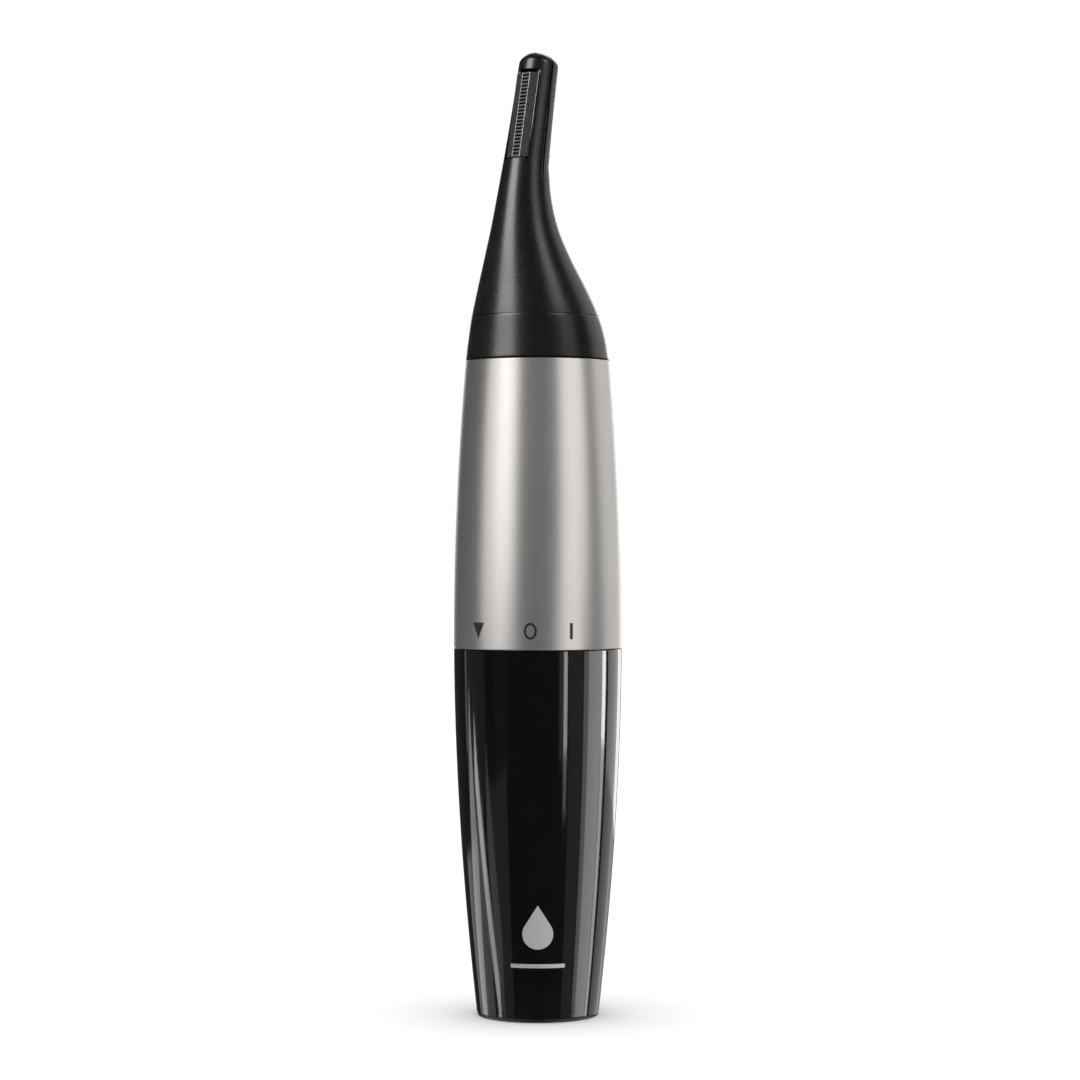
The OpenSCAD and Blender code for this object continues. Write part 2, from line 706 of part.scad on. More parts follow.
// Base ring of the head, with the socket for the barrel's spigot and the web that carries the drive
module head_base() color([0.035, 0.035, 0.038]) {
    z0 = barrel_top + seam_gap;
    z1 = seam_z - head_seam / 2;
    difference() {
        union() {
            skin([for (k = [0 : 6]) neck_ring(z0 + (z1 - z0) * k / 6, 0, 48)]);
            translate([0, -seam_shift, z1 - cut]) cylinder(r = inner_collar_r, h = cut + inner_collar_h);
        }
        translate([0, 0, z0 - cut]) cylinder(r = socket_r, h = web_z - z0 + cut);
        translate([0, 0, web_z - cut]) cylinder(r = bush_r, h = 5);
        translate([0, -seam_shift, web_z + web_t]) cylinder(r = inner_collar_bore_r, h = 5);
        block(-key_w / 2 - key_play, key_w / 2 + key_play, 6, key_y + key_play, z0 - cut, web_z);
    }
}

// Room for the drive inside the neck and for the blade inside the tip
module head_hollow() {
    steps = 9;
    low = seam_z - 1;
    wall_low = 1.1;
    wall_high = 0.65;
    skin(concat(
        [for (k = [0 : steps]) let (share = k / steps)
            neck_ring(low + (tip_z - low) * share, wall_low + (wall_high - wall_low) * share, 32)],
        [tip_ring(window_l, tip_radius(window_l) - 0.6, 32)]));
}

// The head's outer form from height z0 up, as one closed solid
module head_form(z0, sides = 40) {
    steps = 11;
    skin(concat(
        [for (k = [0 : steps]) neck_ring(z0 + (tip_z - z0) * k / steps, 0, sides)],
        [for (s = [shoulder_s / 2, shoulder_s, shoulder_s + 0.7, shoulder_s + 1.25, shoulder_s + 1.6])
            tip_ring(s, tip_radius(s), sides)]));
}

// Space of the spine cover. side is 1 for the room that the shell leaves and -1 for the cover itself.
module cover_zone(side) {
    in_tip() block(-6, 6, parting_y - side * parting_gap / 2, 6, cover_s - side * cover_gap / 2, 20);
}

// Rounded grooves down both sides of the tip, where the cover meets the shell
module side_grooves() {
    ends = [for (a = [15 : 25 : 90])
        [side_groove_low + side_groove_r * (1 - cos(a)), side_groove_r * sin(a)]];
    middle = [for (s = [side_groove_low + 1.3 : 1.3 : side_groove_fade]) [s, side_groove_r]];
    for (side = [-1, 1]) in_tip()
        skin([for (p = concat(ends, middle, [[side_groove_top, side_groove_r / 6]]))
            let (r = tip_radius(max(p[0], 0)) + side_flare * max(-p[0], 0),
                 x = side * sqrt(pow(r, 2) - pow(parting_y, 2)))
            [for (i = [0 : 11]) [x + p[1] * cos(30 * i), parting_y + p[1] * sin(30 * i), p[0]]]]);
}

// Front of the head, with the blade's window
module head_shell() color([0.035, 0.035, 0.038]) difference() {
    head_form(seam_z + head_seam / 2);
    head_hollow();
    side_grooves();
    cover_zone(1);
    in_tip() {
        block(-window_w / 2, window_w / 2, -6, flank_y + blade_t, 0, window_l);
        block(-cavity_w / 2, cavity_w / 2, -2.35, parting_y, -2, window_l);
    }
}

// Back of the tip, clipped in after the blade
module spine_cover() color([0.035, 0.035, 0.038]) intersection() {
    difference() {
        head_form(120);
        difference() {
            head_hollow();
            in_tip() block(-0.9, 0.9, spring_stop_y, 5, 4, 10);
        }
        side_grooves();
    }
    cover_zone(-1);
}

// One side of a bent blade, grow behind the outer face, from -half to half
function blade_face(grow, half) =
    let (slope = (flank_y - ridge_y) / (blade_half - ridge_w / 2),
         edge_y = flank_y - (blade_half - half) * slope)
    [[-half, edge_y + grow], [-ridge_w / 2, ridge_y + grow], [ridge_w / 2, ridge_y + grow],
     [half, edge_y + grow]];

function backwards(points) = [for (i = [len(points) - 1 : -1 : 0]) points[i]];

module slot_row(y0, y1, width, length) {
    for (k = [0 : slots - 1]) {
        s = slots_s + slot_pitch * k;
        block(-length / 2, length / 2, y0, y1, s - width / 2, s + width / 2);
    }
}

// Outer blade, a bent plate with a ladder of slots down its ridge
module stationary_blade() color([0.55, 0.55, 0.56]) in_tip() difference() {
    translate([0, 0, blade_low]) linear_extrude(window_l - 0.55 - blade_low)
        polygon(concat(blade_face(0, blade_half), backwards(blade_face(blade_t, blade_half))));
    slot_row(-4, -1, slot_w, slot_l);
}

// Inner blade, with a matching row of teeth, which slides behind the outer one
module moving_blade() color([0.62, 0.62, 0.64]) in_tip() difference() {
    translate([0, 0, 0.3]) linear_extrude(window_l - 1)
        polygon(concat(blade_face(blade_t + blade_gap, moving_w / 2),
            [[moving_w / 2, moving_back_y], [-moving_w / 2, moving_back_y]]));
    slot_row(-4, -2.1, slot_w, slot_l);
}

// Rod behind the inner blade, with a foot that steps back to carry the follower
module blade_rod() color([0.88, 0.88, 0.86]) in_tip() difference() {
    foot_top = rod_foot_s + rod_foot_l;
    foot_w = rod_w + 0.8;
    union() {
        block(-rod_w / 2, rod_w / 2, moving_back_y, rod_back_y, foot_top - 0.8, window_l - 1.2);
        block(-foot_w / 2, foot_w / 2, moving_back_y + rod_foot_in, rod_back_y + rod_foot_in,
            rod_foot_s, foot_top);
    }
    translate([0, moving_back_y, pin_s]) rotate([-90, 0, 0]) cylinder(r = pin_r, h = 4);
}

module follower_pin() color([0.75, 0.75, 0.77])
    in_tip() translate([0, moving_back_y + rod_foot_in, pin_s]) rotate([-90, 0, 0])
        cylinder(r = pin_r, h = pin_end_y - moving_back_y - rod_foot_in);

// Bowed leaf that presses the inner blade against the outer one
module pressure_spring() color([0.8, 0.8, 0.82]) in_tip() {
    bow_r = 7;
    half = 4;
    leaf = 0.2;
    y0 = rod_back_y + leaf;
    rise = bow_r - sqrt(pow(bow_r, 2) - pow(half, 2));
    angle = asin(half / bow_r);
    translate([-0.8, 0, 7]) rotate([90, 0, 90]) linear_extrude(1.6)
        polygon(concat(arc(y0 + rise - bow_r, 0, bow_r, -angle, angle, 12),
                       arc(y0 + rise - bow_r, 0, bow_r - leaf, angle, -angle, 12)));
}

module cam_bushing() color([0.65, 0.5, 0.3]) {
    tube(bush_r, journal_r + journal_play, web_z, cam_z - 0.1);
    tube(bush_flange_r, journal_r + journal_play, web_z + web_t, cam_z - 0.1);
}

// Cylinder with a slanted groove, which lifts and lowers the follower pin once a turn
module drive_cam() color([0.86, 0.86, 0.84]) difference() {
    union() {
        translate([0, 0, web_z + 0.1]) cylinder(r = journal_r, h = cam_z - web_z);
        translate([0, 0, cam_z]) cylinder(r = cam_r, h = cam_h);
        translate([0, 0, cam_z + cam_h]) cylinder(r1 = 1.2, r2 = 0.5, h = 0.8);
    }
    translate([0, 0, groove_z]) rotate([groove_tilt, 0, 0]) difference() {
        cylinder(r = cam_r + 2, h = 2 * groove_half_h, center = true);
        cylinder(r = groove_r, h = 8, center = true);
    }
    translate([0, 0, web_z - cut]) cylinder(r = hex_bore_r, h = cut + hex_bore_h, $fn = 6);
}

cap_shell();
cap_emblem();
cap_contact_strip();
cap_spring();
battery_can();
battery_wrap();
battery_terminal();
barrel_sleeve();
switch_marks();
battery_tube();
barrel_collar();
motor_cup();
head_spigot();
positive_contact();
switch_contact();
cap_o_ring();
head_o_ring();
motor_can();
motor_end_cap();
motor_magnets();
motor_bearings();
motor_brushes();
motor_terminals();
motor_screws();
motor_damper();
seal_holder();
shaft_seal();
rotor_core();
rotor_windings();
commutator();
motor_shaft();
drive_coupler();
head_base();
head_shell();
spine_cover();
stationary_blade();
cam_bushing();
drive_cam();
moving_blade();
blade_rod();
follower_pin();
pressure_spring();
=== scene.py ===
import json
import math

import bmesh
import bpy
from mathutils import Matrix, Vector


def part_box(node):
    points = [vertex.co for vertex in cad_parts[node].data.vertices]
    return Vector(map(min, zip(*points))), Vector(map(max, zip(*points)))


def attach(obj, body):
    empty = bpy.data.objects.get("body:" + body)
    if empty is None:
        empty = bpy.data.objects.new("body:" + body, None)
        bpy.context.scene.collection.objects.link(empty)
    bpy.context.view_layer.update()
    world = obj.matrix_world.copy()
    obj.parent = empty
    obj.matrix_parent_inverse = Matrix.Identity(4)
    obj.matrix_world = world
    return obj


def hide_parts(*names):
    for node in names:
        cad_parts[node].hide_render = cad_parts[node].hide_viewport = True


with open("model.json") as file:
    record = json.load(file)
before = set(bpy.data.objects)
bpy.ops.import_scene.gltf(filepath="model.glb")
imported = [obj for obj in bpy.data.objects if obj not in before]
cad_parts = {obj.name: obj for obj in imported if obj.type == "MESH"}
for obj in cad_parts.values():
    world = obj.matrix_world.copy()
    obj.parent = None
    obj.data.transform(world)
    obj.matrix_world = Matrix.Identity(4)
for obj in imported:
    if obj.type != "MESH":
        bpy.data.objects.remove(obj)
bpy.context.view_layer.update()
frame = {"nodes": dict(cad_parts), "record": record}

MM = 0.001

# ---- the object's driving sizes, in millimetres and degrees, as the CAD frame has them ----

# Body
CAP_TOP = 55.4
BARREL_TOP = 98.8
WAIST_Z = 57
WAIST_R = 12.7
BASE_R = 9.16
SHOULDER_R = 10.9
CAP_CURVE = 1.87        # power that shapes the cap's taper
BASE_FILLET = 0.7
SEAM_GAP = 0.15         # between pieces that turn or pull apart
FRONT = -90             # direction that the blade faces
POINTER = FRONT - 8     # direction of the switch's first mark

# Head. The tip has a leaning frame of its own: x across, y to the back and s along it.
SEAM_Z = 105.5
HEAD_SEAM = 0.06
TIP_Z = SEAM_Z + 22.7
TIP_SHIFT = 2.98
TIP_TILT = 12
TIP_R = 3.5
TIP_END_R = 3.04
TIP_CURVE = 1.6         # power that shapes the tip's taper
DOME_R = 3.6
DOME_S = 14.02
DOME_LEAN = 0.2
SHOULDER_S = DOME_S + math.sqrt(DOME_R ** 2 - TIP_END_R ** 2)
PARTING_Y = -0.5        # where the cover meets the shell
PARTING_GAP = 0.24
COVER_S = -2.3
COVER_GAP = 0.05

# Blade
WINDOW_L = 14.3
WINDOW_W = 4.4
RIDGE_Y = -2.9
RIDGE_W = 1.3
FLANK_Y = -2.46
BLADE_HALF = 2.03
BLADE_T = 0.3

BEYOND = 1              # how far a cutter reaches past what it cuts

# Height, shift towards the blade, radius and lean of each section of the neck
NECK = [
    (BARREL_TOP + SEAM_GAP, 0, SHOULDER_R, 0),
    (102, 0.08, 10.48, 0),
    (SEAM_Z, 0.5, 9.71, 0),
    (109.6, 1.31, 8.35, 0.5),
    (114.2, 2.43, 6.62, 2),
    (118.7, 3.2, 5.15, 4.5),
    (123.3, 3.37, 4.16, 8),
    (TIP_Z, TIP_SHIFT, TIP_R, TIP_TILT),
]


def sind(a):
    return math.sin(math.radians(a))


def cosd(a):
    return math.cos(math.radians(a))


def body_r(z):
    """Radius of the body's outer surface at height z."""
    if z < WAIST_Z:
        return WAIST_R - (WAIST_R - BASE_R) * ((WAIST_Z - z) / WAIST_Z) ** CAP_CURVE
    return WAIST_R - (WAIST_R - SHOULDER_R) * ((z - WAIST_Z) / (BARREL_TOP - WAIST_Z)) ** 2


def body_line(z0, z1, steps):
    return [(body_r(z0 + (z1 - z0) * i / steps), z0 + (z1 - z0) * i / steps) for i in range(steps + 1)]


def arc(x, y, r, start, end, steps=8):
    """Points on an arc, with its angles in degrees."""
    angles = [start + (end - start) * i / steps for i in range(steps + 1)]
    return [(x + r * cosd(a), y + r * sind(a)) for a in angles]


def neck_at(z, column):
    """Shift, radius or lean of the neck at height z, on a cubic through the stations."""
    last = len(NECK) - 2
    k = next((i for i in range(last) if z <= NECK[i + 1][0]), last)

    def slope(i):
        a, b = max(i - 1, 0), min(i + 1, len(NECK) - 1)
        return (NECK[b][column] - NECK[a][column]) / (NECK[b][0] - NECK[a][0])

    h = NECK[k + 1][0] - NECK[k][0]
    t = (z - NECK[k][0]) / h
    m0, m1 = slope(k) * h, slope(k + 1) * h
    return (
        (2 * t ** 3 - 3 * t ** 2 + 1) * NECK[k][column] + (t ** 3 - 2 * t ** 2 + t) * m0
        + (3 * t ** 2 - 2 * t ** 3) * NECK[k + 1][column] + (t ** 3 - t ** 2) * m1
    )


def ring(z, shift, r, lean, sides):
    """One ring of the head, in metres."""
    points = []
    for i in range(sides):
        x, y = r * cosd(360 * i / sides), r * sind(360 * i / sides)
        points.append(Vector((x, -shift + y * cosd(lean), z - y * sind(lean))) * MM)
    return points


def neck_ring(z, inset, sides):
    return ring(z, neck_at(z, 1), neck_at(z, 2) - inset, neck_at(z, 3), sides)


def tip_ring(s, r, sides):
    lean = DOME_LEAN * max(s - SHOULDER_S, 0) ** 2
    return ring(TIP_Z + s * cosd(TIP_TILT), TIP_SHIFT - s * sind(TIP_TILT) + lean, r, TIP_TILT, sides)


def tip_side(s):
    """Radius of the tip's straight part."""
    return TIP_END_R + (TIP_R - TIP_END_R) * max(1 - s / SHOULDER_S, 0) ** TIP_CURVE


def in_tip(x, y, s):
    """A point of the tip's own leaning frame, in metres."""
    return Vector((
        x,
        -TIP_SHIFT + y * cosd(TIP_TILT) + s * sind(TIP_TILT),
        TIP_Z - y * sind(TIP_TILT) + s * cosd(TIP_TILT),
    )) * MM


# ---- mesh building ----

WELD = 1e-7             # metres within which two points are one
SHARP_EDGE = 30         # degrees above which an edge isn't smoothed
TURN_STEPS = 288        # sides of a turned piece


def new_object(name, verts, faces):
    mesh = bpy.data.meshes.new(name)
    mesh.from_pydata([tuple(v) for v in verts], [], faces)
    mesh.update()
    obj = bpy.data.objects.new(name, mesh)
    bpy.context.scene.collection.objects.link(obj)
    return obj


def smooth(obj):
    """Smooth shading that breaks at sharp edges, with all faces turned outwards."""
    bm = bmesh.new()
    bm.from_mesh(obj.data)
    bmesh.ops.remove_doubles(bm, verts=bm.verts, dist=WELD)
    bmesh.ops.recalc_face_normals(bm, faces=bm.faces)
    bm.to_mesh(obj.data)
    bm.free()
    obj.data.shade_smooth()
    obj.data.set_sharp_from_angle(angle=math.radians(SHARP_EDGE))
    return obj


def skin(name, rings):
    """A closed solid through rings that all have the same number of points."""
    sides = len(rings[0])
    verts = [p for one in rings for p in one]
    faces = []
    for k in range(len(rings) - 1):
        for i in range(sides):
            a, b = k * sides + i, k * sides + (i + 1) % sides
            faces.append((a, b, b + sides, a + sides))
    faces.append(tuple(range(sides))[::-1])
    faces.append(tuple((len(rings) - 1) * sides + i for i in range(sides)))
    return new_object(name, verts, faces)


def lathe(name, outline):
    """A closed outline of (radius, height) in millimetres, turned about the body's axis."""
    segments = TURN_STEPS
    verts, faces, rows = [], [], []
    for r, z in outline:
        if r < 1e-6:
            rows.append([len(verts)] * segments)
            verts.append(Vector((0, 0, z * MM)))
        else:
            rows.append(list(range(len(verts), len(verts) + segments)))
            verts += [Vector((r * cosd(360 * i / segments), r * sind(360 * i / segments), z)) * MM
                      for i in range(segments)]
    for k in range(len(rows)):
        low, high = rows[k], rows[(k + 1) % len(rows)]
        if low[0] == low[1] and high[0] == high[1]:
            continue
        for i in range(segments):
            j = (i + 1) % segments
            corners = []
            for v in (low[i], low[j], high[j], high[i]):
                if v not in corners:
                    corners.append(v)
            faces.append(tuple(corners))
    return new_object(name, verts, faces)


def prism(name, outline, place, low, high):
    """A flat outline pushed from low to high, with place() giving each corner's position."""
    n = len(outline)
    verts = [place(x, y, low) for x, y in outline] + [place(x, y, high) for x, y in outline]
    faces = [(i, (i + 1) % n, n + (i + 1) % n, n + i) for i in range(n)]
    faces += [tuple(range(n))[::-1], tuple(range(n, 2 * n))]
    return new_object(name, verts, faces)


def upright(x, y, z):
    return Vector((x, y, z)) * MM


def block(x0, x1, y0, y1, z0, z1, place=upright, name="cutter"):
    return prism(name, [(x0, y0), (x1, y0), (x1, y1), (x0, y1)], place, z0, z1)


def joined(name, parts):
    """One object from several, which are then removed."""
    bm = bmesh.new()
    for part in parts:
        bm.from_mesh(part.data)
        bpy.data.objects.remove(part)
    bmesh.ops.recalc_face_normals(bm, faces=bm.faces)
    mesh = bpy.data.meshes.new(name)
    bm.to_mesh(mesh)
    bm.free()
    obj = bpy.data.objects.new(name, mesh)
    bpy.context.scene.collection.objects.link(obj)
    return obj


def carved(obj, cutters, operation="DIFFERENCE"):
    """obj with each cutter taken away or kept, and the cutters removed."""
    for tool in [obj, *cutters]:
        smooth(tool)
    for cutter in cutters:
        mod = obj.modifiers.new("cut", "BOOLEAN")
        mod.operation = operation
        mod.solver = "EXACT"
        mod.object = cutter
    bpy.context.view_layer.update()
    mesh = bpy.data.meshes.new_from_object(obj.evaluated_get(bpy.context.evaluated_depsgraph_get()))
    obj.modifiers.clear()
    obj.data = mesh
    for cutter in cutters:
        bpy.data.objects.remove(cutter)
    return obj


# ---- materials ----

# How far the roughness of moulded plastic and of bare metal varies from patch to patch
PATCHY = 0.06
METAL_PATCHY = 0.08
WRAP_BAND = 14          # height in millimetres of the copper-coloured band round the cell
WRAP_FADE = 0.1         # how far either side of its edge the band fades


class Nodes:
    """A Principled material under construction. Noise scales are per metre."""

    def __init__(self, name):
        self.mat = bpy.data.materials.new(name)
        self.mat.use_nodes = True
        self.tree = self.mat.node_tree
        self.shader = self.tree.nodes["Principled BSDF"]
        self.coords = self.add("ShaderNodeTexCoord").outputs["Object"]

    def add(self, kind, **values):
        node = self.tree.nodes.new(kind)
        for key, value in values.items():
            setattr(node, key, value)
        return node

    def link(self, a, b):
        self.tree.links.new(a, b)

    def noise(self, scale, detail=3, stretch=(1, 1, 1)):
        mapping = self.add("ShaderNodeMapping")
        mapping.inputs["Scale"].default_value = stretch
        self.link(self.coords, mapping.inputs["Vector"])
        node = self.add("ShaderNodeTexNoise")
        node.inputs["Scale"].default_value = scale
        node.inputs["Detail"].default_value = detail
        self.link(mapping.outputs["Vector"], node.inputs["Vector"])
        return node.outputs["Fac"]

    def ranged(self, value, low, high, start=0.3, end=0.7):
        node = self.add("ShaderNodeMapRange")
        node.inputs["From Min"].default_value = start
        node.inputs["From Max"].default_value = end
        node.inputs["To Min"].default_value = low
        node.inputs["To Max"].default_value = high
        self.link(value, node.inputs["Value"])
        return node.outputs["Result"]

    def mix(self, fac, dark, light):
        node = self.add("ShaderNodeMix", data_type="RGBA")
        for name, value in (("Factor", fac), ("A", dark), ("B", light)):
            socket = node.inputs[name]
            if isinstance(value, (tuple, list)):
                socket.default_value = (*value, 1)
            elif isinstance(value, (int, float)):
                socket.default_value = value
            else:
                self.link(value, socket)
        return node.outputs["Result"]

    def bump(self, height, distance):
        """Relief of the given depth in metres, on top of any relief set before."""
        node = self.add("ShaderNodeBump")
        node.inputs["Strength"].default_value = 1.0
        node.inputs["Distance"].default_value = distance
        self.link(height, node.inputs["Height"])
        if self.shader.inputs["Normal"].links:
            self.link(self.shader.inputs["Normal"].links[0].from_socket, node.inputs["Normal"])
        self.link(node.outputs["Normal"], self.shader.inputs["Normal"])

    def set(self, **values):
        for key, value in values.items():
            socket = self.shader.inputs[key.replace("_", " ")]
            if isinstance(value, tuple):
                socket.default_value = (*value, 1)
            elif isinstance(value, (int, float)):
                socket.default_value = value
            else:
                self.link(value, socket)
        return self


def plastic(name, color, light, roughness, grain, grain_depth):
    """Moulded plastic: a mottle in the colour, patchy gloss and a fine moulded grain."""
    m = Nodes(name)
    m.set(Base_Color=m.mix(m.ranged(m.noise(400, 4), 0, 1), color, light))
    m.set(Roughness=m.ranged(m.noise(900, 5), roughness - PATCHY / 2, roughness + PATCHY / 2))
    m.bump(m.noise(grain, 2), grain_depth)
    return m.mat


def metal(name, color, light, roughness, stretch=(1, 1, 1), grain=6000, grain_depth=2e-6):
    """Bare metal: drawn or rolled grain along one direction, with patchy polish."""
    m = Nodes(name)
    m.set(Metallic=1.0)
    m.set(Base_Color=m.mix(m.ranged(m.noise(700, 4, stretch), 0, 1), color, light))
    rough, fine = roughness - METAL_PATCHY / 2, roughness + METAL_PATCHY / 2
    m.set(Roughness=m.ranged(m.noise(grain / 4, 4, stretch), rough, fine))
    m.bump(m.noise(grain, 2, stretch), grain_depth)
    return m.mat


def gloss_black():
    """The cap: glossy black plastic with faint moulding waves and hairlines."""
    m = Nodes("gloss_black")
    dark, light = (0.0022, 0.0022, 0.0024), (0.0035, 0.0035, 0.0037)
    m.set(Base_Color=m.mix(m.ranged(m.noise(300, 3), 0, 1), dark, light))
    m.set(Roughness=m.ranged(m.noise(500, 5), 0.05, 0.09))
    m.set(IOR=1.5)
    m.bump(m.noise(60, 2, (1, 1, 0.15)), 1.6e-5)
    m.bump(m.noise(9000, 3, (1, 1, 0.08)), 2.5e-7)
    return m.mat


def satin_silver():
    """The barrel: evenly blasted metal."""
    m = Nodes("satin_silver")
    m.set(Metallic=1.0)
    dark, light = (0.70, 0.695, 0.685), (0.74, 0.735, 0.725)
    m.set(Base_Color=m.mix(m.ranged(m.noise(250, 3, (1, 1, 0.3)), 0, 1), dark, light))
    m.set(Roughness=m.ranged(m.noise(4000, 4), 0.30, 0.36))
    m.bump(m.noise(9000, 2), 1.2e-6)
    return m.mat


def printed(name, color, light):
    """Matt ink of a pad print."""
    m = Nodes(name)
    m.set(Base_Color=m.mix(m.ranged(m.noise(3000, 4), 0, 1), color, light))
    m.set(Roughness=m.ranged(m.noise(5000, 3), 0.42, 0.55))
    m.bump(m.noise(12000, 2), 1e-6)
    return m.mat


def copper_wire():
    """Enamelled wire, wound round the pole as fine even turns, with painted shade that darkens the grooves
    between the turns.
    """
    m = Nodes("copper_wire")
    wave = m.add("ShaderNodeTexWave", wave_type="BANDS", bands_direction="Z")
    wave.inputs["Scale"].default_value = 900
    m.link(m.coords, wave.inputs["Vector"])
    m.set(Metallic=1.0)
    # painted shade: the colour runs dark copper where the wave's relief sinks between the turns
    m.set(Base_Color=m.mix(wave.outputs["Fac"], (0.35, 0.12, 0.045), (0.78, 0.36, 0.17)))
    m.set(Roughness=m.ranged(m.noise(3000, 3), 0.25, 0.4))
    m.bump(wave.outputs["Fac"], 6e-5)
    return m.mat


def cell_film():
    """Shrunk film round the cell: a dark band and a copper-coloured band near the terminal."""
    m = Nodes("cell_film")
    split = m.add("ShaderNodeSeparateXYZ")
    m.link(m.coords, split.inputs["Vector"])
    edge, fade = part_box("battery_wrap")[1].z - WRAP_BAND * MM, WRAP_FADE * MM
    band = m.ranged(split.outputs["Z"], 0, 1, edge - fade, edge + fade)
    dark = m.mix(m.ranged(m.noise(900, 3), 0, 1), (0.012, 0.013, 0.016), (0.02, 0.021, 0.024))
    copper = m.mix(m.ranged(m.noise(900, 3), 0, 1), (0.55, 0.25, 0.1), (0.62, 0.3, 0.13))
    m.set(Base_Color=m.mix(band, dark, copper))
    m.set(Roughness=m.ranged(m.noise(1500, 4), 0.16, 0.26))
    m.bump(m.noise(1500, 3), 6e-6)
    return m.mat


def rubber(name, color, light):
    """Dull rubber with a fine tooth."""
    m = Nodes(name)
    m.set(Base_Color=m.mix(m.ranged(m.noise(1500, 4), 0, 1), color, light))
    m.set(Roughness=m.ranged(m.noise(2500, 4), 0.55, 0.72))
    m.bump(m.noise(6000, 3), 3e-6)
    return m.mat


def head_black():
    """The head: satin black plastic."""
    m = Nodes("head_black")
    dark, light = (0.0035, 0.0035, 0.0037), (0.0065, 0.0063, 0.0066)
    m.set(Base_Color=m.mix(m.ranged(m.noise(500, 4), 0, 1), dark, light))
    m.set(Roughness=m.ranged(m.noise(2500, 4), 0.25, 0.31))
    m.bump(m.noise(11000, 2), 2.5e-7)
    return m.mat


def blade_steel():
    """The blades: hardened steel with a grain along the tip."""
    m = Nodes("blade_steel")
    m.set(Metallic=1.0)
    dark, light = (0.33, 0.325, 0.32), (0.46, 0.455, 0.445)
    m.set(Base_Color=m.mix(m.ranged(m.noise(3000, 4, (1, 1, 0.05)), 0, 1), dark, light))
    m.set(Roughness=m.ranged(m.noise(9000, 4, (1, 1, 0.05)), 0.16, 0.24))
    m.bump(m.noise(20000, 2, (1, 1, 0.04)), 1.5e-6)
    return m.mat


STEEL_GRAIN = (1, 1, 0.06)
TURNED_GRAIN = (0.06, 0.06, 1)
STACKED_GRAIN = (0.05, 0.05, 1)
MATERIALS = {
    "cap_gloss": gloss_black(),
    "emblem_print": printed("emblem_print", (0.4, 0.4, 0.395), (0.48, 0.48, 0.475)),
    "contact_brass": metal("contact_brass", (0.62, 0.45, 0.18), (0.75, 0.57, 0.26), 0.28, STEEL_GRAIN),
    "spring_steel": metal("spring_steel", (0.6, 0.6, 0.61), (0.72, 0.72, 0.73), 0.25),
    "cell_steel": metal("cell_steel", (0.62, 0.62, 0.63), (0.72, 0.72, 0.72), 0.22, STEEL_GRAIN),
    "cell_wrap": cell_film(),
    "barrel_satin": satin_silver(),
    "mark_print": printed("mark_print", (0.012, 0.012, 0.012), (0.022, 0.021, 0.02)),
    "chassis_plastic": plastic(
        "chassis_plastic", (0.022, 0.022, 0.024), (0.032, 0.032, 0.034), 0.42, 5000, 4e-6),
    "seal_rubber": rubber("seal_rubber", (0.012, 0.012, 0.012), (0.022, 0.022, 0.022)),
    "motor_steel": metal("motor_steel", (0.55, 0.55, 0.56), (0.66, 0.66, 0.66), 0.3, STEEL_GRAIN),
    "motor_cream": plastic("motor_cream", (0.72, 0.7, 0.62), (0.8, 0.78, 0.7), 0.45, 4000, 3e-6),
    "magnet": plastic("magnet", (0.05, 0.05, 0.055), (0.09, 0.09, 0.095), 0.6, 3000, 1e-5),
    "bronze": metal("bronze", (0.42, 0.27, 0.12), (0.55, 0.36, 0.17), 0.4),
    "brush_copper": metal("brush_copper", (0.6, 0.33, 0.17), (0.75, 0.45, 0.25), 0.3),
    "core_steel": metal(
        "core_steel", (0.28, 0.28, 0.29), (0.42, 0.42, 0.43), 0.38, STACKED_GRAIN, 4000, 1.5e-5),
    "copper_wire": copper_wire(),
    "white_pom": plastic("white_pom", (0.72, 0.72, 0.7), (0.8, 0.8, 0.78), 0.36, 4000, 3e-6),
    "seal_red": rubber("seal_red", (0.16, 0.035, 0.025), (0.22, 0.05, 0.035)),
    "head_satin": head_black(),
    "blade_steel": blade_steel(),
    "pin_steel": metal("pin_steel", (0.6, 0.6, 0.61), (0.74, 0.74, 0.75), 0.18, TURNED_GRAIN),
}


def finish_piece(obj, body, slot, *nodes):
    """Gives a piece its body and the material named by its slot, and hides the CAD nodes that it stands for.
    """
    obj.data.materials.clear()
    obj.data.materials.append(MATERIALS[slot])
    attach(obj, body)
    if nodes:
        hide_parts(*nodes)
    return obj


# ---- battery cap ----

# The bayonet's lugs, the bores from the rim down, and the slot for the contact strip
LUG_Z = 46
LUG_H = 2
LUG_ANGLE = 14
LUG_R = 9.15
LUG_LAP = 0.3           # how far a lug reaches into the wall
CAP_SPIGOT_R = 10.12
CAP_TUBE_R = 9.15
CAP_CELL_R = 7.6
CAP_FLOOR = 2.05
CAP_SPIGOT_Z = 43.5
CAP_TUBE_Z = 25
CAP_WALL_START = 0.2    # height of the wall's first point above the base's rounding
CAP_EDGE_R = 0.08
CAP_CHAMFER = 0.2
CAP_LEDGE = 0.3         # height of the cones between the bores
STRIP_TURN = 113        # direction of the slot for the contact strip
STRIP_W = 3.2
STRIP_T = 0.45
STRIP_TOP = 42
STRIP_LAP = 0.3         # how far the slot's cutter reaches into the bore
BODY_STEPS = 220        # rings along a stretch of the body


def sector(name, r_in, r_out, z0, z1, middle, width, steps=12):
    """Part of a ring, width degrees wide."""
    angles = [middle - width / 2 + width * i / steps for i in range(steps + 1)]
    outline = [(r_out * cosd(a), r_out * sind(a)) for a in angles]
    outline += [(r_in * cosd(a), r_in * sind(a)) for a in reversed(angles)]
    return prism(name, outline, upright, z0, z1)


def turned(turn):
    """Places x outwards, y across and z up, in the direction given."""
    def place(x, y, z):
        return Vector((x * cosd(turn) - y * sind(turn), x * sind(turn) + y * cosd(turn), z)) * MM
    return place


